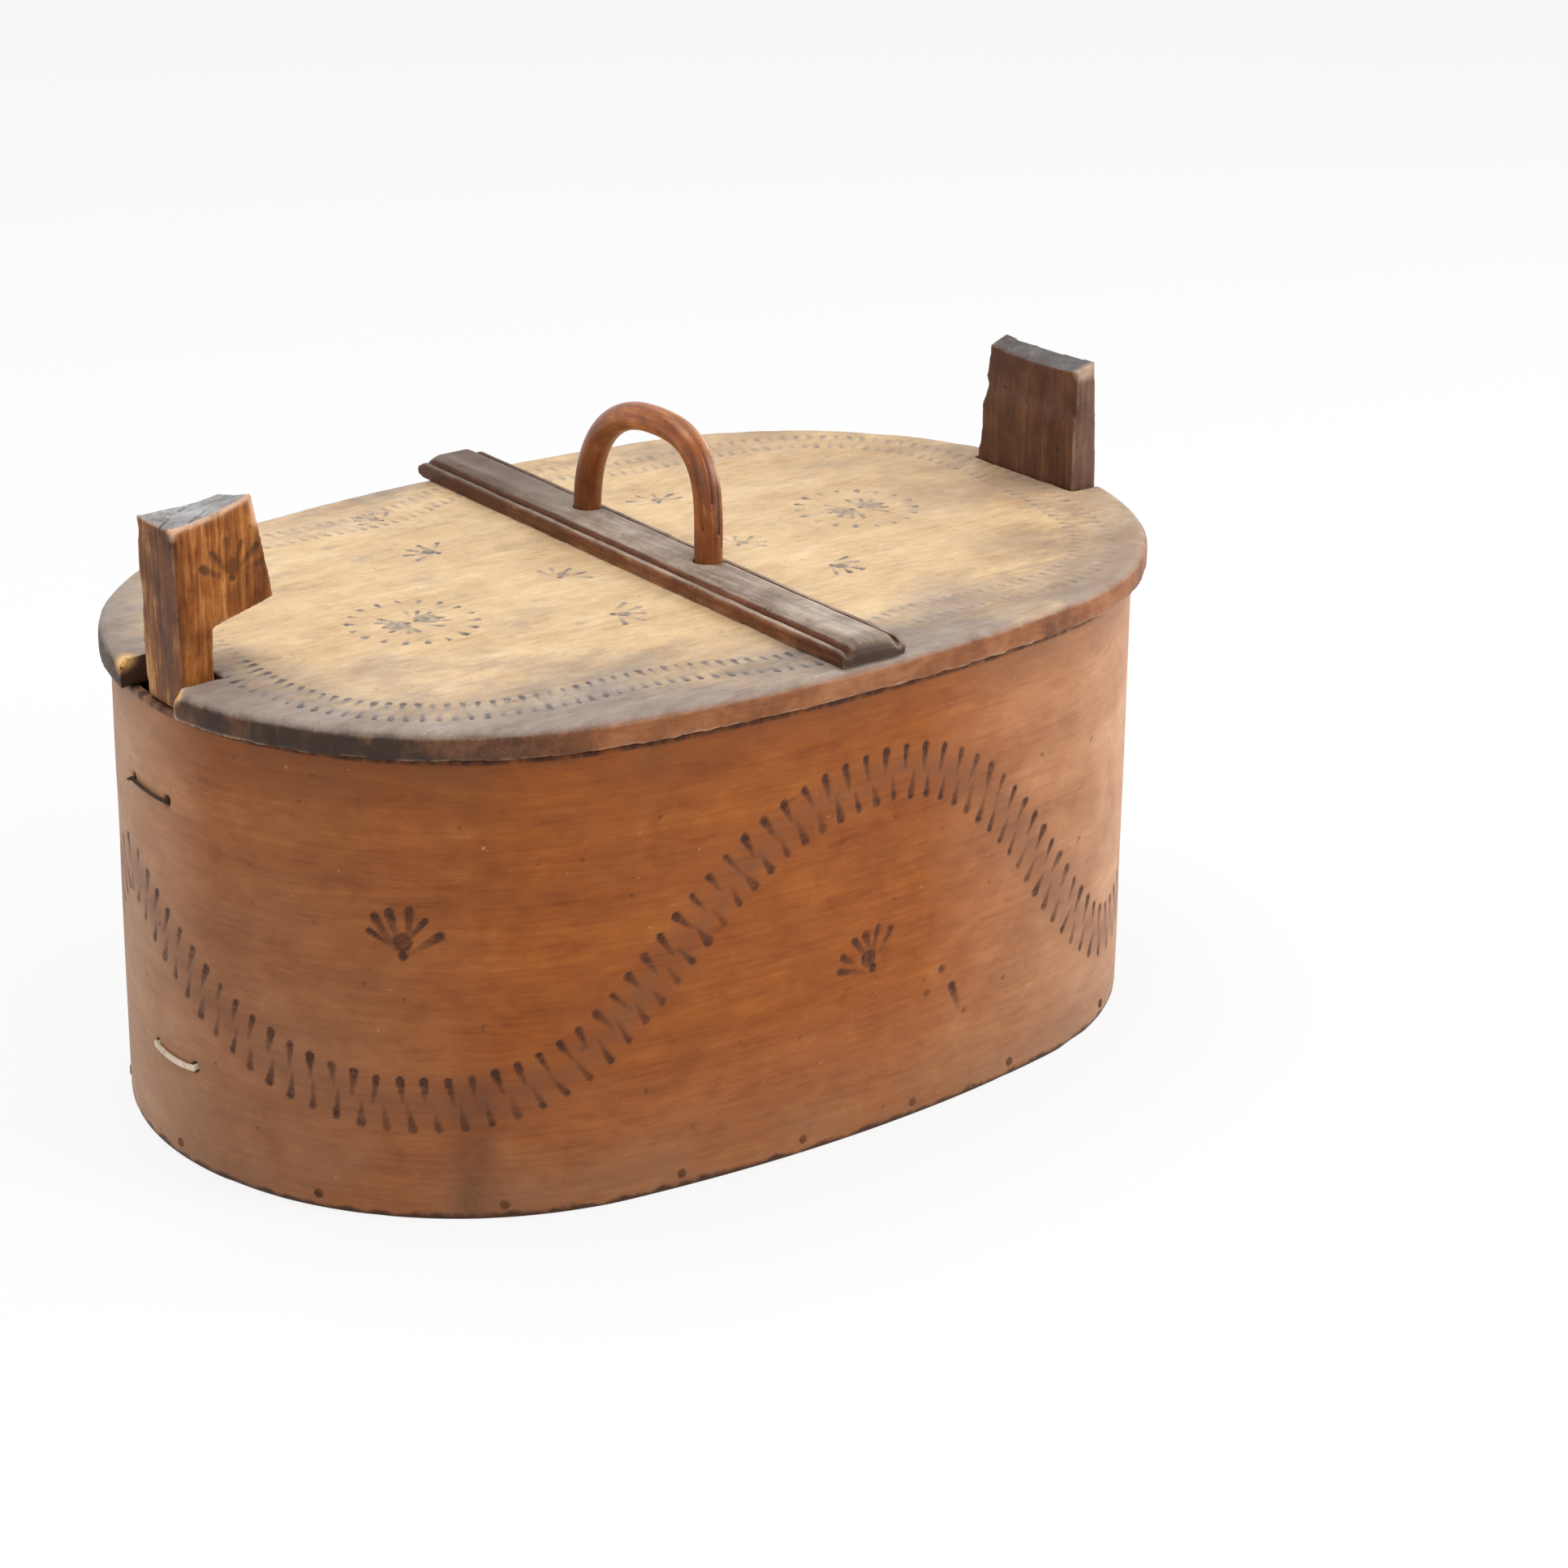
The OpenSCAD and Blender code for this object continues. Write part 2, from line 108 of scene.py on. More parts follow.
def lumps(points, size, seed):
    """Smooth noise from -1 to 1. size is the distance between its lumps, one or three numbers."""
    p = points / np.asarray(size, dtype=float) + 31.7 * seed
    base = np.floor(p).astype(np.int64)
    f = p - base
    f = f * f * (3 - 2 * f)
    total = np.zeros(len(points))
    for dx in (0, 1):
        for dy in (0, 1):
            for dz in (0, 1):
                weight = (np.where(dx, f[:, 0], 1 - f[:, 0]) * np.where(dy, f[:, 1], 1 - f[:, 1])
                          * np.where(dz, f[:, 2], 1 - f[:, 2]))
                total += weight * lattice(base[:, 0] + dx, base[:, 1] + dy, base[:, 2] + dz, seed)
    return 2 * total - 1


def remeshed(node, size):
    """A CAD node's shape as small even quads."""
    copy = bpy.data.objects.new("even", NODES[node].data.copy())
    scene.collection.objects.link(copy)
    remesh = copy.modifiers.new("even", "REMESH")
    remesh.mode = "VOXEL"
    remesh.voxel_size = size
    mesh = copy.evaluated_get(bpy.context.evaluated_depsgraph_get()).to_mesh()
    points = np.empty(len(mesh.vertices) * 3)
    mesh.vertices.foreach_get("co", points)
    quads = np.empty(len(mesh.loops), dtype=np.int64)
    mesh.loops.foreach_get("vertex_index", quads)
    data = copy.data
    bpy.data.objects.remove(copy)
    bpy.data.meshes.remove(data)
    return points.reshape(-1, 3), quads.reshape(-1, 4)


def smoothed(points, quads, times):
    """Each point moved half way to the mean of its neighbours, times over."""
    start = quads.ravel()
    end = np.roll(quads, 1, axis=1).ravel()
    start, end = np.concatenate([start, end]), np.concatenate([end, start])
    count = np.bincount(start, minlength=len(points))
    for _ in range(times):
        around = np.stack([np.bincount(start, points[end, i], len(points)) for i in range(3)], axis=1)
        points = points + 0.5 * (around / count[:, None] - points)
    return points


def normals_of(points, quads):
    """Each point's outward normal, from the quads around it."""
    a, b, c, d = (points[quads[:, i]] for i in range(4))
    faces = np.cross(c - a, d - b)
    total = np.stack([np.bincount(quads.ravel(), np.repeat(faces[:, i], 4), len(points))
                      for i in range(3)], axis=1)
    return total / np.maximum(np.linalg.norm(total, axis=1), 1e-12)[:, None]


def edges_of(points, quads, normals, size):
    """1 on a sharp outer edge, 0 on a flat face, -1 in a sharp inner corner."""
    sharp = 0.6 * size    # how far a sharp edge of this mesh size stands out
    away = np.einsum("ij,ij->i", points - smoothed(points, quads, 10), normals)
    return np.clip(away / sharp, -1, 1)


def piece(name, points, quads, look, body, nodes, fields):
    """Makes a mesh object that rides on a body, stands for CAD nodes and carries named fields."""
    mesh = bpy.data.meshes.new(name)
    mesh.vertices.add(len(points))
    mesh.vertices.foreach_set("co", np.ascontiguousarray(points).ravel())
    mesh.loops.add(quads.size)
    mesh.loops.foreach_set("vertex_index", quads.ravel().astype(np.int32))
    mesh.polygons.add(len(quads))
    mesh.polygons.foreach_set("loop_start", np.arange(0, quads.size, 4, dtype=np.int32))
    mesh.update(calc_edges=True)
    mesh.validate()
    mesh.shade_smooth()
    for field, values in fields.items():
        kind, key = ("FLOAT_VECTOR", "vector") if values.ndim == 2 else ("FLOAT", "value")
        layer = mesh.attributes.new(field, kind, "POINT")
        layer.data.foreach_set(key, np.ascontiguousarray(values, dtype=np.float32).ravel())
    mesh.materials.append(look)
    obj = bpy.data.objects.new(name, mesh)
    scene.collection.objects.link(obj)
    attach(obj, body)
    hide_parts(*nodes)


def swell(points, centre, size):
    """1 at a centre, softly down to 0 at about twice a size from it, both in millimetres."""
    return np.exp(-(((points / MM - centre) / size) ** 2).sum(axis=1))


def carved(node, size, smooth, uneven, chips, seed):
    """A worn, hand-cut version of a CAD node: edges rounded by a number of smoothing steps,
    faces cut back unevenly and corners chipped, each by up to a depth."""
    points, quads = remeshed(node, size)
    points = smoothed(points, quads, smooth)
    normals = normals_of(points, quads)
    edge = edges_of(points, quads, normals, size)
    worn = np.clip(lumps(points, 9 * MM, seed) + 0.35 * lumps(points, 3.5 * MM, seed + 1) - 0.15, 0, 1)
    move = -uneven * (0.5 + 0.5 * lumps(points, (14 * MM, 14 * MM, 26 * MM), seed + 2))
    move -= chips * worn * np.clip(edge, 0, 1)
    return points + normals * move[:, None], quads, edge


# ---- strokes burnt and pressed into a surface ----------------------------------------
SOFT = 0.7 * MM      # width of a stroke's soft border
FADE = 0.68          # share of a stroke's force that is lost at its tail


def pressed(u, v, strokes):
    """Depth from 0 to 1 that strokes leave at the points (u, v). A stroke is a drop with a
    head and a tail: head u, v, tail u, v, head radius, tail radius, force."""
    depth = np.zeros(len(u))
    for hu, hv, tu, tv, head, tail, force in strokes:
        reach = max(head, tail) + SOFT
        near = np.flatnonzero((u > min(hu, tu) - reach) & (u < max(hu, tu) + reach)
                              & (v > min(hv, tv) - reach) & (v < max(hv, tv) + reach))
        if not len(near):
            continue
        du, dv = tu - hu, tv - hv
        along = ((u[near] - hu) * du + (v[near] - hv) * dv) / max(du * du + dv * dv, 1e-12)
        along = np.clip(along, 0, 1)
        gap = np.hypot(u[near] - hu - along * du, v[near] - hv - along * dv)
        radius = head + (tail - head) * along
        mark = np.clip((radius + 0.4 * SOFT - gap) / SOFT, 0, 1)
        mark *= mark * (3 - 2 * mark)
        depth[near] = np.maximum(depth[near], force * (1 - FADE * along) * mark)
    return depth


rng = np.random.default_rng(7)


def beside(u, v, far, angle):
    """The point at a distance from u, v in the direction of angle."""
    return u + far * math.cos(angle), v + far * math.sin(angle)


def drop(u, v, angle, length, head=1.9 * MM, tail=0.65 * MM, force=1.0):
    """A stroke with its head at u, v and its tail in the direction of angle, cut by hand."""
    angle += rng.normal(0, 0.10)
    length *= rng.uniform(0.85, 1.12)
    return (u, v, *beside(u, v, length, angle),
            head * rng.uniform(0.75, 1.15), tail, force * rng.uniform(0.65, 1.0))


def spot(u, v, radius, force):
    return (u, v, u, v, radius, radius, force)


def fan(u, v, size, facing, rays=6, spread=1.9, force=1.0):
    """Rays out of a dark base, each with its head at the far end."""
    strokes = [spot(u, v, 0.11 * size, force),
               spot(*beside(u, v, 0.3 * size, facing), 0.22 * size, 0.7 * force)]
    for i in range(rays):
        turn = facing + spread * (i / (rays - 1) - 0.5) + rng.normal(0, 0.05)
        reach = size * rng.uniform(0.86, 1.04)
        strokes.append(drop(*beside(u, v, reach, turn), turn + math.pi, 0.68 * size,
                            0.1 * size, 0.055 * size, force))
    return strokes


def rosette(u, v, radius, force):
    """A ring of drops round two small fans that stand back to back."""
    strokes = []
    marks = 18
    for i in range(marks):
        turn = 2 * math.pi * (i + 0.5) / marks
        strokes.append(drop(*beside(u, v, radius, turn), turn + math.pi, 4 * MM, 1.5 * MM, 0.8 * MM, force))
    for side in (0, 1):
        facing = math.pi * side + 0.15
        strokes += fan(u + 2 * MM * math.cos(facing), v, 12.5 * MM, facing, 6, 2.5, 0.85 * force)
        strokes.append(spot(u + 7 * MM * math.cos(facing), v, 5.5 * MM, 0.5 * force))
    return strokes


# ---- the bent wall -------------------------------------------------------------------
SIDE_TURN = math.atan2(END_C, SIDE_K)    # half the angle of a side arc


def on_side(turns, middle):
    """Whether normals in these directions belong to the side arc whose middle faces that way."""
    return np.abs((turns - middle + math.pi) % (2 * math.pi) - math.pi) < SIDE_TURN


def wall_columns(step):
    """Columns round the wall from the lap's free edge, anticlockwise: their place along the
    band, their points on the plain oval and the normals there."""
    quarter = math.pi / 2
    start = math.acos(LAP_X / SIDE_R)
    turns = np.linspace(start, start + 2 * math.pi, 20001)
    radius = np.where(on_side(turns, quarter) | on_side(turns, -quarter), SIDE_R, END_R)
    length = np.concatenate([[0], np.cumsum(np.diff(turns) * (radius[1:] + radius[:-1]) / 2)])
    count = int(round(length[-1] / step))
    place = np.linspace(0, length[-1], count)
    turn = np.interp(place, length, turns)
    normal = np.stack([np.cos(turn), np.sin(turn)], axis=1)
    far_side, near_side = on_side(turn, quarter), on_side(turn, -quarter)
    centre = np.where(normal[:, :1] < 0, (-END_C, 0), (END_C, 0))
    centre[far_side] = (0, -SIDE_K)
    centre[near_side] = (0, SIDE_K)
    radius = np.where(far_side | near_side, SIDE_R, END_R)
    return place, centre + normal * radius[:, None], normal


PLACE, OVAL, OUTWARD = wall_columns(0.9 * MM)
AROUND = PLACE[-1]


def place_of(x, y):
    """Place along the band of the column that is nearest to a point given in millimetres."""
    return PLACE[np.argmin(np.hypot(OVAL[:, 0] - x * MM, OVAL[:, 1] - y * MM))]


# the wave's middle line over half the wall: x, y and height in millimetres
WAVE = ((-218.7, 38, 119), (-222.5, 20.6, 103), (-223.8, 0, 91), (-221.7, -25.4, 72),
        (-216.8, -44.3, 63), (-209.8, -61.4, 54.5), (-192, -89, 47.5), (-168.8, -111.4, 47.5),
        (-151.3, -122.8, 52), (-134.3, -130.6, 59), (-119.8, -135.3, 68), (-107, -138, 81),
        (-82.4, -141.7, 106), (-55.9, -144.6, 131), (-28.7, -146.4, 145), (0, -147, 151),
        (22.4, -146.6, 151), (40.7, -145.7, 147), (62.6, -144, 133), (84.2, -141.5, 112),
        (101.5, -139, 89), (112, -137.2, 73), (127.3, -133.1, 56), (141.5, -127.7, 43),
        (162, -117, 38), (185, -97, 50), (205, -71, 82))
# fans on the wall: x, y, height and size in millimetres, and the direction they face
WALL_FANS = ((-180.3, -96.4, 109, 18, 1.6), (5.1, -146.8, 71, 17.5, 2.0),
             (184, 92, 108, 18, 1.6), (-8, 147, 72, 17.5, 1.2))
FAINT_FANS = ((47, -144.6), (-50, 142))    # fans of which only parts have come out
STROKE, PITCH = 10 * MM, 9.6 * MM          # length of the wave's strokes, distance in a row
WAVE_START, WAVE_END = 8 * MM, 6 * MM      # bare band at both sides of the lap's free edge


def wave_line():
    """Middle line of the wave right round the band, as places and heights. The back repeats
    the front, half way round."""
    place = np.array([place_of(x, y) for x, y, _ in WAVE])
    place = np.concatenate([place - AROUND / 2, place, place + AROUND / 2])
    height = np.tile([z * MM for _, _, z in WAVE], 3)
    order = np.argsort(place)
    fine = np.linspace(0, AROUND, 2400)
    line = np.interp(fine, place[order], height[order])
    for _ in range(5):
        line = (np.roll(line, 12) + 2 * line + np.roll(line, -12)) / 4
    return fine, line


def wall_strokes(fine, line):
    """A row of strokes at both sides of the wave's line, and fans above and below it."""
    length = np.concatenate([[0], np.cumsum(np.hypot(np.diff(fine), np.diff(line)))])
    near = 4 * MM    # the line's slope is taken over this much at each side
    strokes = []
    for row, shift, inwards, force in ((1, 0.0, math.pi, 1.0), (-1, 0.5, 0.0, 0.85)):
        for far in np.arange(WAVE_START + shift * PITCH, length[-1] - WAVE_END, PITCH):
            u = np.interp(far, length, fine)
            v = np.interp(far, length, line)
            rise = np.interp(u + near, fine, line) - np.interp(u - near, fine, line)
            away = math.pi / 2 + 0.75 * math.atan2(rise, 2 * near)
            head = beside(u, v, row * STROKE, away)
            strokes.append(drop(*head, away + inwards + 0.12, STROKE, force=force))
    for x, y, z, size, facing in WALL_FANS:
        strokes += fan(place_of(x, y), z * MM, size * MM, facing)
    for x, y in FAINT_FANS:
        u = place_of(x, y)
        strokes += [(u + 1 * MM, 51 * MM, u + 5 * MM, 41 * MM, 2.0 * MM, 1.4 * MM, 0.85),
                    spot(u - 5 * MM, 60 * MM, 1.9 * MM, 0.6), spot(u - 13 * MM, 52 * MM, 1.7 * MM, 0.5),
                    spot(u - 15 * MM, 58 * MM, 1.4 * MM, 0.3), spot(u + 8 * MM, 38 * MM, 1.4 * MM, 0.4)]
    return strokes


# holes of the keeper's stitches: x, y and height in millimetres
STITCH_HOLES = ((-224, -1, 150), (-222, 28, 150), (-223, 15.2, 43), (-223.4, -12.4, 43))


def wall_section():
    """Outline of the band's thickness, up the outer face and down the inner one: heights, how
    far each stands in from the outer face, and 1 where it rides out with the lap."""
    rim = 0.8 * MM
    outer_steps, inner_steps = 208, 40
    foot_z, foot_in = [0, 0.25 * MM, 0.8 * MM], [0.9 * MM, 0.35 * MM, 0.1 * MM]
    z = np.concatenate([foot_z, np.linspace(1.8 * MM, BODY_H - 1.2 * MM, outer_steps),
                        [BODY_H - 0.4 * MM, BODY_H, BODY_H, BODY_H - 0.3 * MM],
                        np.linspace(BODY_H - 1 * MM, 1 * MM, inner_steps), [0]])
    inset = np.concatenate([foot_in, np.zeros(outer_steps), [0.15 * MM, rim, WALL_T - rim, WALL_T],
                            np.full(inner_steps, WALL_T), [WALL_T - 0.5 * MM]])
    outer = np.arange(len(z)) < len(foot_z) + outer_steps + 3
    return z, inset, outer.astype(float)


def make_wall():
    z, inset, outer = wall_section()
    rows, columns = len(z), len(PLACE)
    lap = np.clip((2 * LAP_X - PLACE) / (2 * LAP_X), 0, 1) * LAP_STEP
    place = np.repeat(PLACE[:, None], rows, axis=1).ravel()
    up = np.tile(z, columns)
    face = np.tile(outer, columns)
    away = (np.repeat(lap[:, None], rows, axis=1) * outer).ravel() - np.tile(inset, columns)
    around = np.repeat(OVAL, rows, axis=0)
    normal = np.repeat(OUTWARD, rows, axis=0)
    grain = np.stack([place, away, up], axis=1)
    # burnt strokes, scorched skin along the wave and the holes of the keeper's stitches
    fine, line = wave_line()
    burn = pressed(place, up, wall_strokes(fine, line)) * face
    slope = np.interp(place, fine, np.gradient(line, fine))
    off = (up - np.interp(place, fine, line)) / np.hypot(1, slope)
    smoke = np.exp(-(off / (9 * MM)) ** 2) * face
    holes = [spot(place_of(x, y), z * MM, 2.3 * MM, 1.0) for x, y, z in STITCH_HOLES]
    sunk = pressed(place, up, holes) * face
    uneven = 0.5 + 0.5 * lumps(grain, (70 * MM, 1, 30 * MM), 3)
    away -= face * (0.35 * MM * burn + 1.2 * MM * sunk + 0.35 * MM * uneven)
    # the lower edge is worn away here and there, and the rim is cut a little unevenly
    bite = np.clip(lumps(grain, (16 * MM, 1, 40 * MM), 5) - 0.1, 0, 1) * np.clip(1 - up / (4 * MM), 0, 1)
    away -= face * bite * 1.8 * MM
    dip = (0.5 + 0.5 * lumps(grain, (18 * MM, 1, 1), 6)) * np.clip((up - BODY_H + 6 * MM) / (6 * MM), 0, 1)
    height = up - 0.7 * MM * dip * (up > BODY_H / 2)
    points = np.concatenate([around + normal * away[:, None], height[:, None]], axis=1)
    column = np.arange(columns)[:, None] * rows
    following = (np.arange(columns)[:, None] + 1) % columns * rows
    row = np.arange(rows)[None, :]
    after = (row + 1) % rows
    quads = np.stack([column + row, column + after, following + after, following + row], axis=-1)
    quads = quads.reshape(-1, 4)
    piece("bent_wall", points, quads, LOOKS["wood_wall"], "box", ["wall_band"],
          {"grain": grain, "burn": np.maximum(burn, sunk), "smoke": smoke, "inside": 1 - face})


# ---- materials -----------------------------------------------------------------------
class Look:
    """A material and short calls that add nodes to it."""

    def __init__(self, name):
        self.material = bpy.data.materials.new(name)
        self.material.use_nodes = True
        self.tree = self.material.node_tree
        self.shader = self.tree.nodes["Principled BSDF"]

    def add(self, kind, inputs=(), **settings):
        node = self.tree.nodes.new(kind)
        for key, value in settings.items():
            setattr(node, key, value)
        for key, value in dict(inputs).items():
            self.put(node.inputs[key], value)
        return node

    def put(self, socket, value):
        if isinstance(value, bpy.types.NodeSocket):
            self.tree.links.new(value, socket)
        elif isinstance(value, tuple) and len(value) == 3 and socket.type == "RGBA":
            socket.default_value = (*value, 1.0)
        else:
            socket.default_value = value

    def set(self, **values):
        """Gives the shader its inputs by name, with _ for a space."""
        for key, value in values.items():
            self.put(self.shader.inputs[key.replace("_", " ")], value)

    def place(self):
        return self.add("ShaderNodeTexCoord").outputs["Object"]

    def part(self, vector, axis):
        return self.add("ShaderNodeSeparateXYZ", {0: vector}).outputs[axis]

    def facing(self, axis):
        """The part of the surface's normal along X, Y or Z."""
        return self.part(self.add("ShaderNodeTexCoord").outputs["Normal"], axis)

    def attribute(self, name, output="Fac"):
        return self.add("ShaderNodeAttribute", attribute_name=name).outputs[output]

    def noise(self, vector, scale, detail=4.0, rough=0.55, bend=0.0, shift=(0, 0, 0)):
        """Noise from 0 to 1. scale is its lumps per metre, one number or one for each axis."""
        if isinstance(scale, tuple):
            vector = self.add("ShaderNodeMapping", {"Vector": vector, "Scale": scale,
                                                    "Location": shift}).outputs[0]
            scale = 1.0
        return self.add("ShaderNodeTexNoise", {"Vector": vector, "Scale": scale, "Detail": detail,
                                               "Roughness": rough, "Distortion": bend}).outputs["Fac"]

    def math(self, operation, a, b=0.5):
        return self.add("ShaderNodeMath", {0: a, 1: b}, operation=operation).outputs[0]

    def times(self, a, b):
        return self.math("MULTIPLY", a, b)

    def sum(self, first, *others):
        for other in others:
            first = self.math("ADD", first, other)
        return first

    def weigh(self, *parts):
        """A sum of (value, weight) pairs."""
        return self.sum(*[self.times(value, weight) for value, weight in parts])

    def span(self, value, low, high, to_low=0.0, to_high=1.0):
        """Turns low to high into to_low to to_high, and stays at those outside."""
        node = self.add("ShaderNodeMapRange", {"Value": value, "From Min": low, "From Max": high,
                                               "To Min": to_low, "To Max": to_high})
        return node.outputs["Result"]

    def ramp(self, value, *colours):
        """Goes evenly through the colours as value goes from 0 to 1."""
        node = self.add("ShaderNodeValToRGB", {"Fac": value})
        elements = node.color_ramp.elements
        while len(elements) < len(colours):
            elements.new(0.5)
        for i, (element, colour) in enumerate(zip(elements, colours)):
            element.position = i / (len(colours) - 1)
            element.color = (*colour, 1.0)
        return node.outputs["Color"]

    def mix(self, amount, a, b):
        return self.add("ShaderNodeMix", {0: amount, 6: a, 7: b}, data_type="RGBA").outputs[2]

    def bump(self, height, distance, strength):
        node = self.add("ShaderNodeBump", {"Height": height, "Distance": distance, "Strength": strength})
        self.put(self.shader.inputs["Normal"], node.outputs[0])


def figure(look, place, axis, seed=0.0):
    """Wood figure with its fibres along an axis: soft bands, fine fibres, pores, each 0 to 1."""
    def streaks(long, short, detail, rough, bend):
        scale = tuple(long if i == axis else short for i in range(3))
        return look.noise(place, scale, detail, rough, bend, (seed, 1.7 * seed, 0.6 * seed))
    return (streaks(5, 45, 4.0, 0.6, 0.8), streaks(26, 420, 5.0, 0.65, 0.4),
            streaks(110, 1600, 3.0, 0.6, 0.0))


def mottled_burn(look, place):
    """The burnt strokes, 0 to 1, uneven within each stroke."""
    mottle = look.span(look.noise(place, 420.0, 3.0, 0.6), 0.35, 0.6, 0.65, 1.0)
    return look.times(look.attribute("burn"), mottle)


def wall_look():
    look = Look("wood_wall")
    grain = look.attribute("grain", "Vector")
    height = look.part(grain, "Z")
    along = look.part(look.place(), "X")
    across = look.part(look.place(), "Y")
    bands, fine, pores = figure(look, grain, 0)
    blotch = look.noise(grain, (24, 24, 34), 5.0, 0.62)
    mottle = look.noise(grain, (75, 75, 120), 4.0, 0.6, 0.6, (2, 0, 1))
    tone = look.weigh((bands, 0.22), (fine, 0.24), (pores, 0.12), (blotch, 0.2), (mottle, 0.22))
    colour = look.ramp(look.span(tone, 0.37, 0.64), (0.17, 0.042, 0.008), (0.265, 0.070, 0.0125),
                       (0.335, 0.098, 0.018), (0.42, 0.145, 0.034))
    # clouds of grime
    cloud = look.noise(grain, (8, 8, 15), 4.0, 0.6, 0.0, (0.3, 0, 0.1))
    colour = look.mix(look.span(cloud, 0.50, 0.72, 0.0, 0.5), colour, (0.155, 0.050, 0.017))
    # painted sheen: the right half and the back of the left end are painted paler, for the light from the
    # right and the sheen at both ends
    streak = look.span(tone, 0.38, 0.62)
    left = look.times(look.span(along, -0.150, -0.215), look.span(across, -0.030, 0.030, 0.0, 0.85))
    pale = look.math("MAXIMUM", look.span(along, 0.030, 0.200, 0.0, 0.9), left)
    pale = look.times(pale, look.span(blotch, 0.25, 0.6, 0.65, 1.0))
    colour = look.mix(pale, colour, look.mix(streak, (0.47, 0.245, 0.130), (0.68, 0.43, 0.27)))
    # paler and greyer on the left end, most of it low down, and round the foot
    paler_left_and_low = look.times(look.span(along, -0.150, -0.212, 0.0, 0.6), look.span(height, 0.175, 0.060, 0.25, 1.0))
    paler_left_and_low = look.math("MAXIMUM", paler_left_and_low, look.span(height, 0.064, 0.0, 0.0, 0.5))
    paler_left_and_low = look.times(paler_left_and_low, look.span(blotch, 0.25, 0.6, 0.7, 1.0))
    colour = look.mix(paler_left_and_low, colour, look.mix(streak, (0.245, 0.118, 0.060), (0.41, 0.22, 0.12)))
    # the foot is dirty, and its lower edge is dark and ragged
    foot = look.times(look.span(height, 0.034, 0.0), look.span(blotch, 0.40, 0.62))
    colour = look.mix(look.times(foot, 0.45), colour, (0.165, 0.095, 0.060))
    ragged = look.sum(height, look.span(look.noise(grain, (90, 90, 90)), 0.3, 0.7, -0.0016, 0.0016))
    colour = look.mix(look.span(ragged, 0.0030, 0.0012, 0.0, 0.9), colour, (0.040, 0.018, 0.010))
    # the rim is darker in blotches close below the lid, with a broken line of painted shadow in the gap under
    # the lid
    rim = look.times(look.span(height, 0.168, 0.187), look.span(blotch, 0.30, 0.60))
    colour = look.mix(look.times(rim, 0.6), colour, (0.12, 0.045, 0.020))
    # painted shadow: dark dashes along the gap between the lid and the rim
    gap_shadow = look.span(look.noise(grain, (110, 0, 0), 4.0, 0.65), 0.36, 0.56)
    gap_shadow = look.times(look.span(height, 0.1852, 0.1862), gap_shadow)
    colour = look.mix(look.times(gap_shadow, 0.85), colour, (0.030, 0.012, 0.008))
    # a long stain near the front left
    aside = look.math("ABSOLUTE", look.math("SUBTRACT", along, -0.1635))
    stain = look.times(look.span(aside, 0.0110, 0.0030), look.span(height, 0.066, 0.050))
    stain = look.times(stain, look.span(look.facing("Y"), 0.0, -0.2))
    stain = look.times(stain, look.span(mottle, 0.3, 0.6, 0.1, 0.55))
    colour = look.mix(stain, colour, (0.10, 0.038, 0.020))
    # dark and bright specks
    specks = look.noise(grain, (140, 140, 170), 2.0, 0.5)
    colour = look.mix(look.span(specks, 0.69, 0.76, 0.0, 0.6), colour, (0.07, 0.025, 0.012))
    glints = look.noise(grain, (200, 200, 260), 2.0, 0.5, 0.0, (3, 1, 2))
    colour = look.mix(look.span(glints, 0.72, 0.78, 0.0, 0.5), colour, (0.62, 0.38, 0.19))
    # the inner face has kept its bare wood
    bare = look.ramp(look.span(tone, 0.36, 0.66), (0.26, 0.15, 0.070), (0.36, 0.22, 0.11), (0.48, 0.32, 0.17))
    colour = look.mix(look.attribute("inside"), colour, bare)
    # the strokes, and the scorched skin between them
    smoke = look.times(look.attribute("smoke"), look.span(mottle, 0.35, 0.62, 0.15, 0.6))
    colour = look.mix(smoke, colour, (0.150, 0.062, 0.036))
    burnt = look.mix(look.span(fine, 0.35, 0.65), (0.030, 0.011, 0.007), (0.085, 0.028, 0.014))
    colour = look.mix(look.span(mottled_burn(look, grain), 0.05, 0.70, 0.0, 0.95), colour, burnt)
    rough = look.span(look.weigh((fine, 0.6), (blotch, 0.4)), 0.35, 0.65, 0.42, 0.6)
    look.set(Base_Color=colour, Roughness=rough, Specular_IOR_Level=0.16)
    look.bump(look.weigh((fine, 0.6), (pores, 0.4)), 0.00035, 0.5)
    return look.material


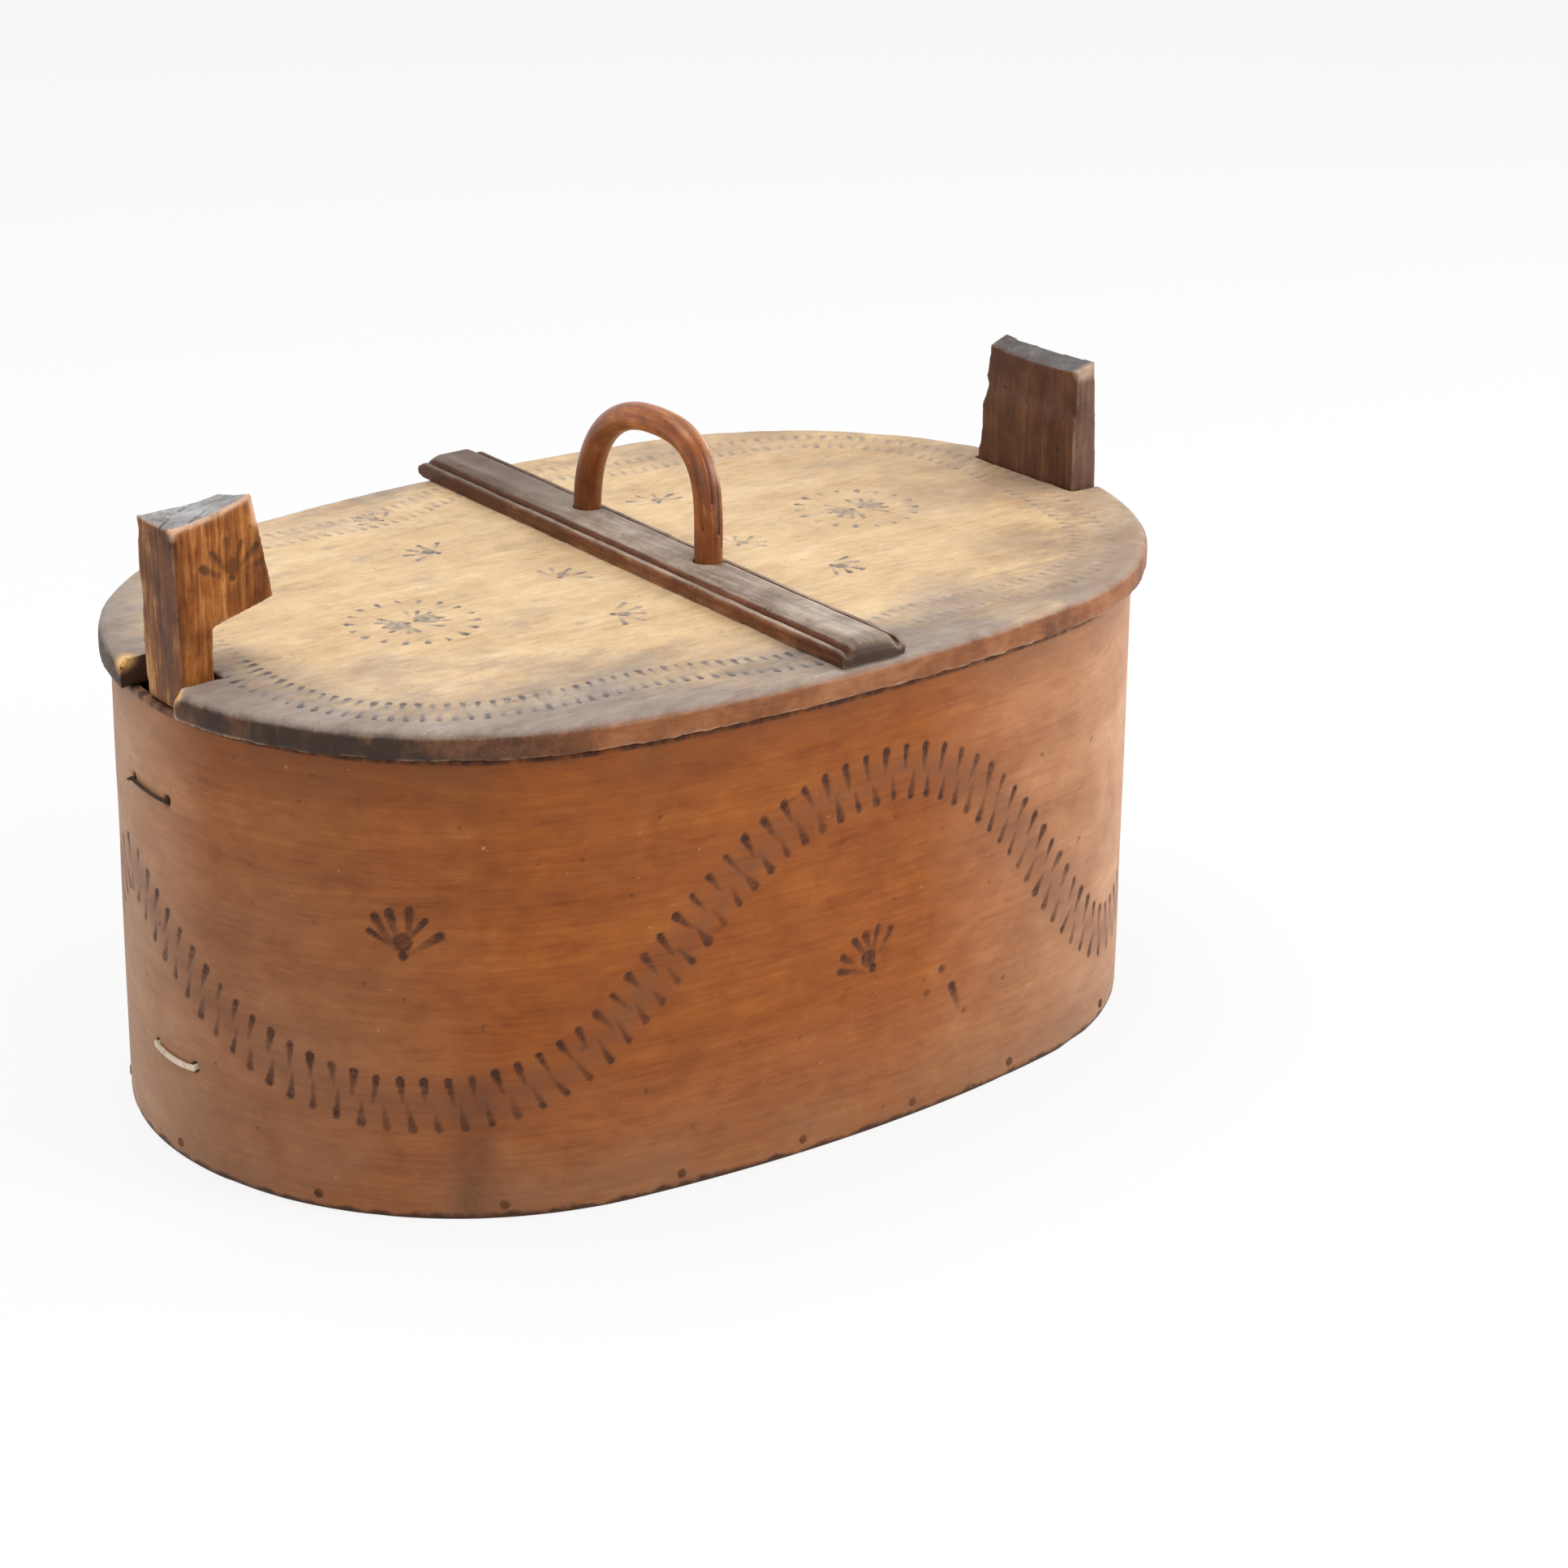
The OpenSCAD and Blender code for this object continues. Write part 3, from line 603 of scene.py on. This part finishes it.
def lid_look():
    look = Look("wood_lid")
    place = look.place()
    along = look.part(place, "X")
    across = look.part(place, "Y")
    bands, fine, pores = figure(look, place, 0, 3.1)
    blotch = look.noise(place, (30, 42, 30), 5.0, 0.65)
    fleck = look.noise(place, (120, 260, 120), 4.0, 0.65)
    tone = look.weigh((bands, 0.2), (fine, 0.18), (pores, 0.12), (blotch, 0.3), (fleck, 0.2))
    tone = look.span(tone, 0.36, 0.65)
    gold = look.ramp(tone, (0.44, 0.27, 0.14), (0.64, 0.43, 0.235), (0.78, 0.56, 0.325), (0.88, 0.70, 0.47))
    grey = look.ramp(tone, (0.17, 0.12, 0.092), (0.27, 0.205, 0.165), (0.36, 0.29, 0.245), (0.50, 0.42, 0.37))
    # golden in the middle and grey towards the rim, most of all at the front and at the keeper
    cloud = look.noise(place, (14, 20, 14), 5.0, 0.65)
    outer = look.sum(look.times(look.attribute("rim"), 0.9),
                     look.span(cloud, 0.3, 0.7, -0.42, 0.42),
                     look.span(along, 0.0, 0.05, 0.0, -0.16),
                     look.span(across, -0.13, 0.13, 0.22, -0.34),
                     look.span(along, -0.165, -0.225, 0.0, 0.4))
    colour = look.mix(look.span(outer, 0.15, 0.95), gold, grey)
    # brown towards the snap post, smears of grime and dark specks everywhere
    brown = look.times(look.span(along, 0.06, 0.19), look.span(cloud, 0.36, 0.6))
    colour = look.mix(look.times(brown, 0.7), colour, (0.37, 0.225, 0.130))
    smear = look.noise(place, (48, 90, 48), 5.0, 0.7, 0.0, (1, 2, 3))
    colour = look.mix(look.span(smear, 0.54, 0.72, 0.0, 0.5), colour, (0.32, 0.25, 0.20))
    specks = look.noise(place, (230, 330, 230), 3.0, 0.55, 0.0, (5, 1, 0))
    colour = look.mix(look.span(specks, 0.65, 0.76, 0.0, 0.45), colour, (0.14, 0.10, 0.075))
    # the upright edge is red-brown, and nearly black beside the keeper
    black = look.ramp(tone, (0.020, 0.011, 0.008), (0.050, 0.028, 0.018), (0.115, 0.066, 0.042))
    red = look.ramp(tone, (0.13, 0.038, 0.013), (0.25, 0.088, 0.031), (0.43, 0.185, 0.083))
    redness = look.sum(look.span(along, -0.185, -0.11), look.span(blotch, 0.35, 0.65, -0.35, 0.35))
    side = look.span(look.facing("Z"), 0.75, 0.35)
    colour = look.mix(side, colour, look.mix(look.span(redness, 0.0, 1.0), black, red))
    # pale top arris: partly rubbed wood, partly a painted highlight along the edge
    rubbed_and_highlit = look.times(look.span(look.attribute("edge"), 0.3, 0.8), look.span(blotch, 0.42, 0.58))
    colour = look.mix(look.times(rubbed_and_highlit, 0.75), colour, (0.60, 0.43, 0.29))
    # the worn horns, and the cut faces beside the keeper painted near black: dark end grain and painted shade
    # in the narrow notch
    horn = look.attribute("horn")
    bare = look.mix(look.span(fleck, 0.35, 0.6), (0.80, 0.34, 0.10), (1.0, 0.64, 0.28))
    colour = look.mix(horn, colour, bare)
    notch = look.times(look.attribute("notch"), look.math("SUBTRACT", 1.0, horn))
    colour = look.mix(notch, colour, (0.055, 0.024, 0.014))
    burn = mottled_burn(look, place)
    ink = look.mix(look.span(burn, 0.30, 0.85), (0.26, 0.225, 0.205), (0.055, 0.048, 0.050))
    colour = look.mix(look.span(burn, 0.06, 0.6, 0.0, 0.9), colour, ink)
    rough = look.span(fine, 0.35, 0.65, 0.42, 0.62)
    look.set(Base_Color=colour, Roughness=rough, Specular_IOR_Level=0.2)
    look.bump(look.weigh((fine, 0.5), (pores, 0.25), (fleck, 0.25)), 0.0005, 0.6)
    return look.material


def wood_look(name, axis, colours, rubbed_and_highlit, top=None, outer=None, side=None, rub=0.5, rough=0.45,
              coat=0.0, gloss=0.18, seed=0.0, field=None, low=0.36, high=0.66):
    """Wood with fibres along an axis, other tones on faces that look up, outwards (-X) or to
    the front (-Y), pale worn edges that are partly painted highlights, darker inner corners
    and burnt marks. Tones go from dark to pale, as the figure goes from low to high. field is
    the mesh's own grain, if it has one."""
    look = Look(name)
    darkest = colours[0]
    place = look.place()
    bands, fine, pores = figure(look, look.attribute(field, "Vector") if field else place, axis, seed)
    blotch = look.noise(place, 75.0, 4.0, 0.62)
    tone = look.span(look.weigh((bands, 0.3), (fine, 0.36), (pores, 0.12), (blotch, 0.22)), low, high)
    colour = look.ramp(tone, *colours)
    for direction, sign, tones in (("X", -1, outer), ("Y", -1, side), ("Z", 1, top)):
        if tones:
            facing = look.times(look.facing(direction), sign)
            colour = look.mix(look.span(facing, 0.55, 0.80), colour, look.ramp(tone, *tones))
    cloud = look.noise(place, (34, 34, 34), 4.0, 0.6, 0.5, (seed, 0, seed))
    colour = look.mix(look.span(cloud, 0.50, 0.68, 0.0, 0.55), colour, darkest)
    edge = look.attribute("edge")
    # darker in inner corners
    inner_corner_dark = look.span(edge, -0.15, -0.6, 0.0, 0.75)
    colour = look.mix(inner_corner_dark, colour, tuple(0.35 * c for c in darkest))
    # pale worn edges, partly rubbed wood and partly a painted highlight along ridges and beads
    worn = look.times(look.span(edge, 0.25, 0.8), look.span(blotch, 0.35, 0.6))
    colour = look.mix(look.times(worn, rub), colour, rubbed_and_highlit)
    specks = look.noise(place, 330.0, 2.0, 0.5)
    colour = look.mix(look.span(specks, 0.66, 0.75, 0.0, 0.6), colour, tuple(0.4 * c for c in darkest))
    # the places that the mesh marks as shaded, rubbed bare (on the handle's near shoulder a painted
    # highlight) or burnt
    colour = look.mix(look.times(look.attribute("shade"), 0.75), colour, darkest)
    bare = look.times(look.attribute("bare"), look.span(blotch, 0.25, 0.5))
    colour = look.mix(bare, colour, tuple(1.25 * c for c in rubbed_and_highlit))
    colour = look.mix(look.times(look.attribute("burn"), 0.9), colour, (0.030, 0.012, 0.008))
    look.set(Base_Color=colour, Roughness=look.span(fine, 0.35, 0.65, rough - 0.08, rough + 0.1),
             Specular_IOR_Level=gloss, Coat_Weight=coat, Coat_Roughness=0.22)
    look.bump(look.weigh((fine, 0.6), (pores, 0.4)), 0.0005, 0.6)
    return look.material


WOODS = {
    "wood_batten": dict(
        axis=1, seed=1.3, colours=[(0.055, 0.020, 0.009), (0.14, 0.052, 0.022), (0.27, 0.125, 0.056)],
        top=[(0.13, 0.080, 0.055), (0.36, 0.275, 0.215), (0.64, 0.54, 0.45)],
        outer=[(0.060, 0.020, 0.009), (0.17, 0.060, 0.026), (0.40, 0.185, 0.088)],
        side=[(0.022, 0.014, 0.011), (0.050, 0.032, 0.025), (0.10, 0.066, 0.052)],
        # its worn edges are strongly lightened, partly as a painted highlight along the beads
        rubbed_and_highlit=(0.50, 0.30, 0.175), rub=0.85),
    "wood_keeper": dict(
        axis=2, seed=2.9, colours=[(0.095, 0.024, 0.006), (0.31, 0.098, 0.021), (0.56, 0.25, 0.068)],
        top=[(0.13, 0.12, 0.115), (0.33, 0.32, 0.315), (0.50, 0.50, 0.495)],
        outer=[(0.040, 0.014, 0.005), (0.25, 0.088, 0.024), (0.78, 0.42, 0.15)],
        rubbed_and_highlit=(0.56, 0.34, 0.22), rub=0.7, low=0.41, high=0.60),
    "wood_snap": dict(
        axis=2, seed=4.7, colours=[(0.052, 0.021, 0.011), (0.118, 0.049, 0.026), (0.22, 0.100, 0.048)],
        top=[(0.065, 0.056, 0.053), (0.13, 0.118, 0.114), (0.25, 0.235, 0.23)],
        side=[(0.070, 0.033, 0.020), (0.145, 0.073, 0.046), (0.24, 0.135, 0.092)],
        rubbed_and_highlit=(0.40, 0.29, 0.21), rub=0.7),
    "wood_bow": dict(
        axis=0, seed=6.1, colours=[(0.095, 0.020, 0.005), (0.36, 0.103, 0.022), (0.76, 0.37, 0.13)],
        rubbed_and_highlit=(0.60, 0.34, 0.18), rub=0.3, rough=0.30, coat=0.16, gloss=0.28, field="grain"),
    "wood_pale": dict(
        axis=0, seed=7.7, colours=[(0.30, 0.19, 0.10), (0.44, 0.31, 0.18), (0.56, 0.42, 0.27)],
        rubbed_and_highlit=(0.5, 0.4, 0.28), rough=0.6),
    "root_pale": dict(
        axis=1, seed=8.9, colours=[(0.46, 0.34, 0.22), (0.74, 0.62, 0.47), (0.92, 0.84, 0.72)],
        rubbed_and_highlit=(0.85, 0.8, 0.7), rough=0.6),
    "root_dark": dict(
        axis=1, seed=9.9, colours=[(0.012, 0.007, 0.005), (0.035, 0.018, 0.012), (0.09, 0.045, 0.027)],
        rubbed_and_highlit=(0.14, 0.08, 0.05), rough=0.6),
    "wood_pegs": dict(
        axis=0, seed=5.2, colours=[(0.055, 0.020, 0.008), (0.13, 0.045, 0.016), (0.24, 0.090, 0.032)],
        rubbed_and_highlit=(0.3, 0.13, 0.05), rough=0.55),
}
LOOKS = {"wood_wall": wall_look(), "wood_lid": lid_look()}
for name, tones in WOODS.items():
    LOOKS[name] = wood_look(name, **tones)
for entry in frame["record"]["subparts"]:
    obj = NODES[entry["node"]]
    obj.data.materials.clear()
    obj.data.materials.append(LOOKS[entry["material_slot"]])


# ---- the lid -------------------------------------------------------------------------
def lid_inset(x, y):
    """Distance of points on the lid from its edge, inwards."""
    x = np.abs(x - LID_X)
    y = np.abs(y)
    side = LID_SIDE_R - np.hypot(x, y + LID_SIDE_K)
    end = LID_END_R - np.hypot(x - LID_END_C, y)
    return np.where(x * LID_SIDE_K > LID_END_C * (y + LID_SIDE_K), end, side)


def garland():
    """Two faint rows of strokes that follow the lid's edge in shallow waves. They are clearest
    at the front left."""
    inset, swing, waves, pitch, half = 27 * MM, 7 * MM, 6, 6 * MM, 8.5 * MM
    ray = np.linspace(60 * MM, 240 * MM, 400)
    line = []
    for turn in np.linspace(0, 2 * math.pi, 2001):
        depth = lid_inset(LID_X + ray * math.cos(turn), ray * math.sin(turn))
        wanted = inset + swing * math.cos(waves * turn + 0.6)
        line.append(beside(LID_X, 0, ray[np.argmin(np.abs(depth - wanted))], turn))
    line = np.array(line)
    place = np.concatenate([[0], np.cumsum(np.hypot(*np.diff(line, axis=0).T))])
    strokes = []
    for row, shift, inwards in ((1, 0.0, math.pi), (-1, pitch / 2, 0.0)):
        for far in np.arange(shift, place[-1], pitch):
            x, y = np.interp(far, place, line[:, 0]), np.interp(far, place, line[:, 1])
            out = math.atan2(y, 0.42 * (x - LID_X))    # about square to the lid's edge
            strokes.append(drop(*beside(x, y, row * half, out), out + inwards, 7 * MM, 1.5 * MM,
                                0.9 * MM, 1.0 if y < 0 and x < 0 else 0.6))
    return strokes


# rosettes on the lid: x, y in millimetres, force
ROSETTES = ((-112.8, -4.2, 1.0), (120.1, 5.4, 0.85))
# fans on the lid: x, y and size in millimetres, direction, force
LID_FANS = ((-55.9, 61.1, 14, 2.2, 1.0), (-50.3, 111.4, 12, 2.0, 0.8), (-34.5, 5.8, 13, 0.6, 0.75),
            (-44.5, -43.3, 14, -0.6, 0.8), (63.1, -47.7, 13, -0.9, 0.95), (49.2, -4.0, 12, 0.4, 0.7),
            (58, 62, 13, 1.2, 0.8))
# the lid's horns beside the keeper: x, y, z and the worn part's size in millimetres
FAR_HORN = (-226, 27, 199.5), (7, 6, 5)
NEAR_HORN = (-228, -15.5, 199), (4, 4, 4)


def lid_strokes():
    strokes = []
    for x, y, force in ROSETTES:
        strokes += rosette(x * MM, y * MM, 25.5 * MM, force)
    for x, y, size, facing, force in LID_FANS:
        strokes += fan(x * MM, y * MM, size * MM, facing, 5, 2.4, force)
    return strokes + garland()


def make_lid():
    size = 1.0 * MM
    points, quads = remeshed("lid_board", size)
    points = smoothed(points, quads, 2)
    normals = normals_of(points, quads)
    edge = edges_of(points, quads, normals, size)
    x, y, z = points.T
    top = np.clip((z - (LID_TOP - 0.7 * MM)) / (0.5 * MM), 0, 1) * np.clip(normals[:, 2], 0, 1)
    burn = pressed(x, y, lid_strokes()) * top
    under_batten = np.abs(x - BATTEN_X - y * math.tan(BATTEN_TURN)) < 15 * MM
    burn[under_batten] = 0
    # the horns beside the keeper are worn round and pale, most of all the far one
    horn = np.maximum(swell(points, *FAR_HORN), 0.7 * swell(points, *NEAR_HORN))
    horn = np.clip(2.2 * horn - 0.25, 0, 1)
    # the faces that were cut across the grain beside the keeper are dark: end grain, and painted shade in the
    # notch round the keeper
    notch = np.clip((-x - 203 * MM) / (2 * MM), 0, 1)
    notch *= np.clip((30 * MM - np.abs(y - 5 * MM)) / (3 * MM), 0, 1)
    notch *= np.clip(np.abs(normals[:, 1]) * 1.6 - 0.6, 0, 1)
    # pressed strokes, a planed surface that isn't flat, chipped edges
    uneven = 0.5 + 0.5 * lumps(points, (60 * MM, 9 * MM, 60 * MM), 11)
    move = -0.3 * MM * burn - 0.25 * MM * uneven * top
    move -= 0.9 * MM * np.clip(edge, 0, 1) * np.clip(lumps(points, 8 * MM, 12) + 0.2, 0, 1)
    move -= 1.3 * MM * horn
    points = points + normals * move[:, None]
    rim = np.clip(1 - lid_inset(x, y) / (80 * MM), 0, 1)
    piece("lid", points, quads, LOOKS["wood_lid"], "lid", ["lid_board"],
          {"burn": burn, "rim": rim, "edge": edge, "horn": horn, "notch": notch})


# ---- posts, batten and handle --------------------------------------------------------
def checks(*lines):
    """Cracks as thin strokes, from lines of start, end and half width in millimetres."""
    return [(a * MM, b * MM, c * MM, d * MM, width * MM, 0.3 * MM, 1.0) for a, b, c, d, width in lines]


def make_keeper():
    points, quads, edge = carved("keeper_post", 0.7 * MM, 2, 0.6 * MM, 1.2 * MM, 21)
    x, y, z = points.T
    strokes = fan(-198 * MM, LID_TOP + 37 * MM, 15 * MM, 1.5, 6, 2.4, 0.8)
    strokes.append(spot(-209.5 * MM, LID_TOP + 42 * MM, 2.0 * MM, 0.8))
    front = np.clip((-9.5 * MM - y) / MM, 0, 1)
    burn = pressed(x, z, strokes) * front
    # the hollow top has checks in its end grain, and its front edge is pale: rubbed bare, and partly a
    # painted highlight
    top = np.clip((z - LID_TOP - 55 * MM) / (2 * MM), 0, 1)
    lines = checks((-224, -4, -212, 6, 0.7), (-214, -9, -196, 2, 0.6), (-208, 8, -199, 12, 0.8))
    cracks = pressed(x, y, lines) * top
    bare = top * np.clip(edge / 0.25, 0, 1) * np.clip((-8 * MM - y) / (2 * MM), 0, 1)
    # painted shade at the hook's tip and down the outer face
    shade = np.clip((x + 192 * MM) / (8 * MM), 0, 0.7)
    shade = np.maximum(shade, np.clip((-219 * MM - x) / (4 * MM), 0, 0.6) * (1 - top))
    shade *= np.clip(0.8 + lumps(points, (9 * MM, 9 * MM, 16 * MM), 24), 0, 1)
    points[:, 1] += 0.35 * MM * burn
    points[:, 2] -= 0.8 * MM * cracks
    piece("keeper", points, quads, LOOKS["wood_keeper"], "box", ["keeper_post"],
          {"edge": edge, "burn": np.maximum(burn, cracks), "bare": bare, "shade": shade * (1 - top)})


def make_snap():
    points, quads, edge = carved("snap_post", 0.7 * MM, 2, 0.4 * MM, 1.5 * MM, 31)
    x, y, z = points.T
    # the ledge on its inner face is worn to a soft swelling
    ledge = np.clip(1.6 - np.abs(z - LID_TOP - 31 * MM) / (4 * MM), 0, 1)
    ledge *= np.clip((217 * MM - x) / (3 * MM), 0, 1) * np.clip((y + 31 * MM) / (4 * MM), 0, 1)
    points = points + (smoothed(points, quads, 60) - points) * ledge[:, None]
    edge = edge * (1 - ledge)
    # its front upper corner is worn bare
    bare = np.clip(1.4 * swell(points, (216, -30, 252), (8, 3.5, 4)) - 0.15, 0, 1)
    piece("snap", points, quads, LOOKS["wood_snap"], "snap", ["snap_post"],
          {"edge": edge, "bare": bare})


def make_batten():
    points, quads, edge = carved("lid_batten", 0.55 * MM, 2, 0.25 * MM, 0.8 * MM, 41)
    # its ends are worn low and round
    near = np.clip((points[:, 1] + 150 * MM) / (7 * MM), 0, 1)
    far = np.clip((155 * MM - points[:, 1]) / (7 * MM), 0, 1)
    worn = (1 - np.minimum(near, far)) ** 2
    points[:, 2] -= 0.35 * (points[:, 2] - LID_TOP) * worn
    points += (smoothed(points, quads, 40) - points) * np.clip(worn * 1.5, 0, 1)[:, None]
    # it is darker towards its far end and at its near tip
    shade = np.maximum(np.clip((points[:, 1] - 20 * MM) / (90 * MM), 0, 0.9),
                       np.clip((-138 * MM - points[:, 1]) / (8 * MM), 0, 0.6))
    piece("batten", points, quads, LOOKS["wood_batten"], "lid", ["lid_batten"],
          {"edge": edge, "shade": shade})


LEG_POINTS, HELD_POINTS = 40, 31    # points on a leg of the bow, and those that keep their place


def bow_line():
    """Middle line of the handle, from the near foot over the top to the far foot."""
    foot = LID_TOP - 15 * MM
    quarter = math.pi / 2

    def shoulder(leg, inwards, radius, angles):
        return [(leg + inwards * radius * (1 - math.cos(a)), BOW_Z - radius * (1 - math.sin(a)))
                for a in angles]

    line = [(NEAR_LEG, z) for z in np.linspace(foot, BOW_Z - NEAR_R, LEG_POINTS)]
    line += shoulder(NEAR_LEG, 1, NEAR_R, np.linspace(0, quarter, 40)[1:])
    line += [(y, BOW_Z) for y in np.linspace(NEAR_LEG + NEAR_R, FAR_LEG - FAR_R, 22)[1:-1]]
    line += shoulder(FAR_LEG, -1, FAR_R, np.linspace(quarter, 0, 50))
    line += [(FAR_LEG, z) for z in np.linspace(BOW_Z - FAR_R, foot, LEG_POINTS)[1:]]
    turn = Matrix.Rotation(-BATTEN_TURN, 3, "Z")
    return np.array([turn @ Vector((BOW_SIDE, y, z)) + Vector((BATTEN_X, 0, 0)) for y, z in line])


def make_bow():
    points, quads, edge = carved("handle_bow", 0.45 * MM, 12, 0.15 * MM, 0.1 * MM, 51)
    line = bow_line()
    place = np.concatenate([[0], np.cumsum(np.linalg.norm(np.diff(line, axis=0), axis=1))])
    nearest = np.array([np.argmin(((line - p) ** 2).sum(axis=1)) for p in points])
    ahead = np.gradient(line, axis=0)
    ahead = (ahead / np.linalg.norm(ahead, axis=1)[:, None])[nearest]
    offset = points - line[nearest]
    along = (offset * ahead).sum(axis=1)
    offset -= along[:, None] * ahead
    side = offset[:, 0]
    out = (offset * np.cross(ahead, np.array([1.0, 0, 0]))).sum(axis=1)
    u = place[nearest] + along
    grain = np.stack([u, side, out], axis=1)
    around = np.arctan2(side, -out) * ROD_R
    # long checks down the outer side of the near leg
    cracks = pressed(u, around, checks((36, 1.0, 84, 2.2, 0.7), (30, 3.2, 74, 4.0, 0.6),
                                       (50, -1.8, 92, -0.8, 0.5)))
    points = points - normals_of(points, quads) * (0.6 * MM * cracks)[:, None]
    # the real bend has no straight part: its line is evened out between the legs
    even = line.copy()
    middle = slice(HELD_POINTS, -HELD_POINTS)
    before, after = slice(HELD_POINTS - 1, -HELD_POINTS - 1), slice(HELD_POINTS + 1, -HELD_POINTS + 1)
    for _ in range(140):
        even[middle] += 0.5 * ((even[before] + even[after]) / 2 - even[middle])
    points += (even - line)[nearest]
    # a painted highlight on the near shoulder, and darker down the far leg
    bare = np.exp(-((u - 70 * MM) / (17 * MM)) ** 2) * np.clip(side / (3.5 * MM), 0, 1)
    piece("bow", points, quads, LOOKS["wood_bow"], "lid", ["handle_bow"],
          {"edge": np.clip(edge, 0, 1), "grain": grain, "burn": cracks, "bare": bare,
           "shade": np.clip((u - 120 * MM) / (45 * MM), 0, 1)})


def make_stitch(node, look, height, thin, sag):
    """A strand across the end wall at a height. Outside the wall it is thinner than in its
    holes, and sags."""
    points, quads, edge = carved(node, 0.3 * MM, 3, 0.1 * MM, 0.1 * MM, 61)
    x, y, z = points.T
    reach = np.hypot(x + END_C, y) - END_R
    shown = np.clip((reach + 0.8 * MM) / (0.8 * MM), 0, 1)
    middle, half = (y.max() + y.min()) / 2, (y.max() - y.min()) / 2
    points[:, 2] = z - (z - height) * (1 - thin) * shown
    points[:, 2] -= sag * shown * np.clip(1 - ((y - middle) / half) ** 2, 0, 1)
    piece(node + "_strand", points, quads, LOOKS[look], "box", [node], {"edge": edge})


def make_small():
    for node, look, slot in (("lap_lacing", "root_pale", "root_pale"),
                             ("bottom_pegs", "wood_pegs", "wood_pale")):
        points, quads, edge = carved(node, 0.4 * MM, 3, 0.12 * MM, 0.2 * MM, 71)
        piece(node + "_worn", points, quads, LOOKS[look], "box", [node], {"edge": edge})


make_wall()
make_lid()
make_keeper()
make_snap()
make_batten()
make_bow()
make_stitch("keeper_stitch_upper", "root_dark", BODY_H - 38 * MM, 0.3, 0.3 * MM)
make_stitch("keeper_stitch_lower", "root_pale", 43 * MM, 0.7, 1.4 * MM)
make_small()


# ---- studio --------------------------------------------------------------------------
def seen_directly(tree):
    """1 for rays from the camera, in mirrors and through glass, 0 for light that falls on things."""
    path = tree.nodes.new("ShaderNodeLightPath")
    total = path.outputs["Is Camera Ray"]
    for ray in ("Is Glossy Ray", "Is Transmission Ray"):
        most = tree.nodes.new("ShaderNodeMath")
        most.operation = "MAXIMUM"
        tree.links.new(total, most.inputs[0])
        tree.links.new(path.outputs[ray], most.inputs[1])
        total = most.outputs[0]
    return total


def make_floor():
    mesh = bpy.data.meshes.new("floor")
    far = 6.0
    corners = [(-far, -far, 0), (far, -far, 0), (far, far, 0), (-far, far, 0)]
    mesh.from_pydata(corners, [], [(0, 1, 2, 3)])
    floor = bpy.data.objects.new("floor", mesh)
    scene.collection.objects.link(floor)
    look = Look("floor")
    look.set(Base_Color=(0.9, 0.9, 0.9), Roughness=0.9)
    glow = look.add("ShaderNodeEmission", {"Color": (1.0, 1.0, 1.0), "Strength": 1.0})
    # mostly white where it is seen; the rest keeps the object's shadow
    seen = look.times(seen_directly(look.tree), 0.82)
    mixed = look.add("ShaderNodeMixShader", {0: seen, 1: look.shader.outputs[0], 2: glow.outputs[0]})
    look.tree.links.new(mixed.outputs[0], look.tree.nodes["Material Output"].inputs["Surface"])
    mesh.materials.append(look.material)


def make_world():
    world = bpy.data.worlds.new("studio")
    scene.world = world
    world.use_nodes = True
    tree = world.node_tree
    background = tree.nodes["Background"]
    background.inputs["Color"].default_value = (1.0, 1.0, 1.0, 1.0)
    # white where it is seen, half as strong as a light
    strength = tree.nodes.new("ShaderNodeMapRange")
    strength.inputs["To Min"].default_value = 0.5
    strength.inputs["To Max"].default_value = 1.0
    tree.links.new(seen_directly(tree), strength.inputs["Value"])
    tree.links.new(strength.outputs["Result"], background.inputs["Strength"])


def add_light(name, place, aim, size, power):
    data = bpy.data.lights.new(name, "AREA")
    data.shape = "DISK"
    data.size = size
    data.energy = power
    light = bpy.data.objects.new(name, data)
    scene.collection.objects.link(light)
    place = Vector(place)
    turn = (place - Vector(aim)).to_track_quat("Z", "Y").to_matrix().to_4x4()
    light.matrix_world = Matrix.Translation(place) @ turn


make_floor()
make_world()
add_light("key", (1.0, -1.5, 1.3), (0, 0, 0.1), 1.2, 22.0)
add_light("side", (1.9, -0.5, 0.6), (0, 0, 0.1), 0.8, 9.0)
add_light("fill", (-1.7, -0.8, 0.9), (0, 0, 0.1), 1.0, 4.0)
add_light("top", (-0.3, 0.5, 1.9), (0, 0, 0.15), 1.4, 16.0)
scene.view_settings.view_transform = "Standard"
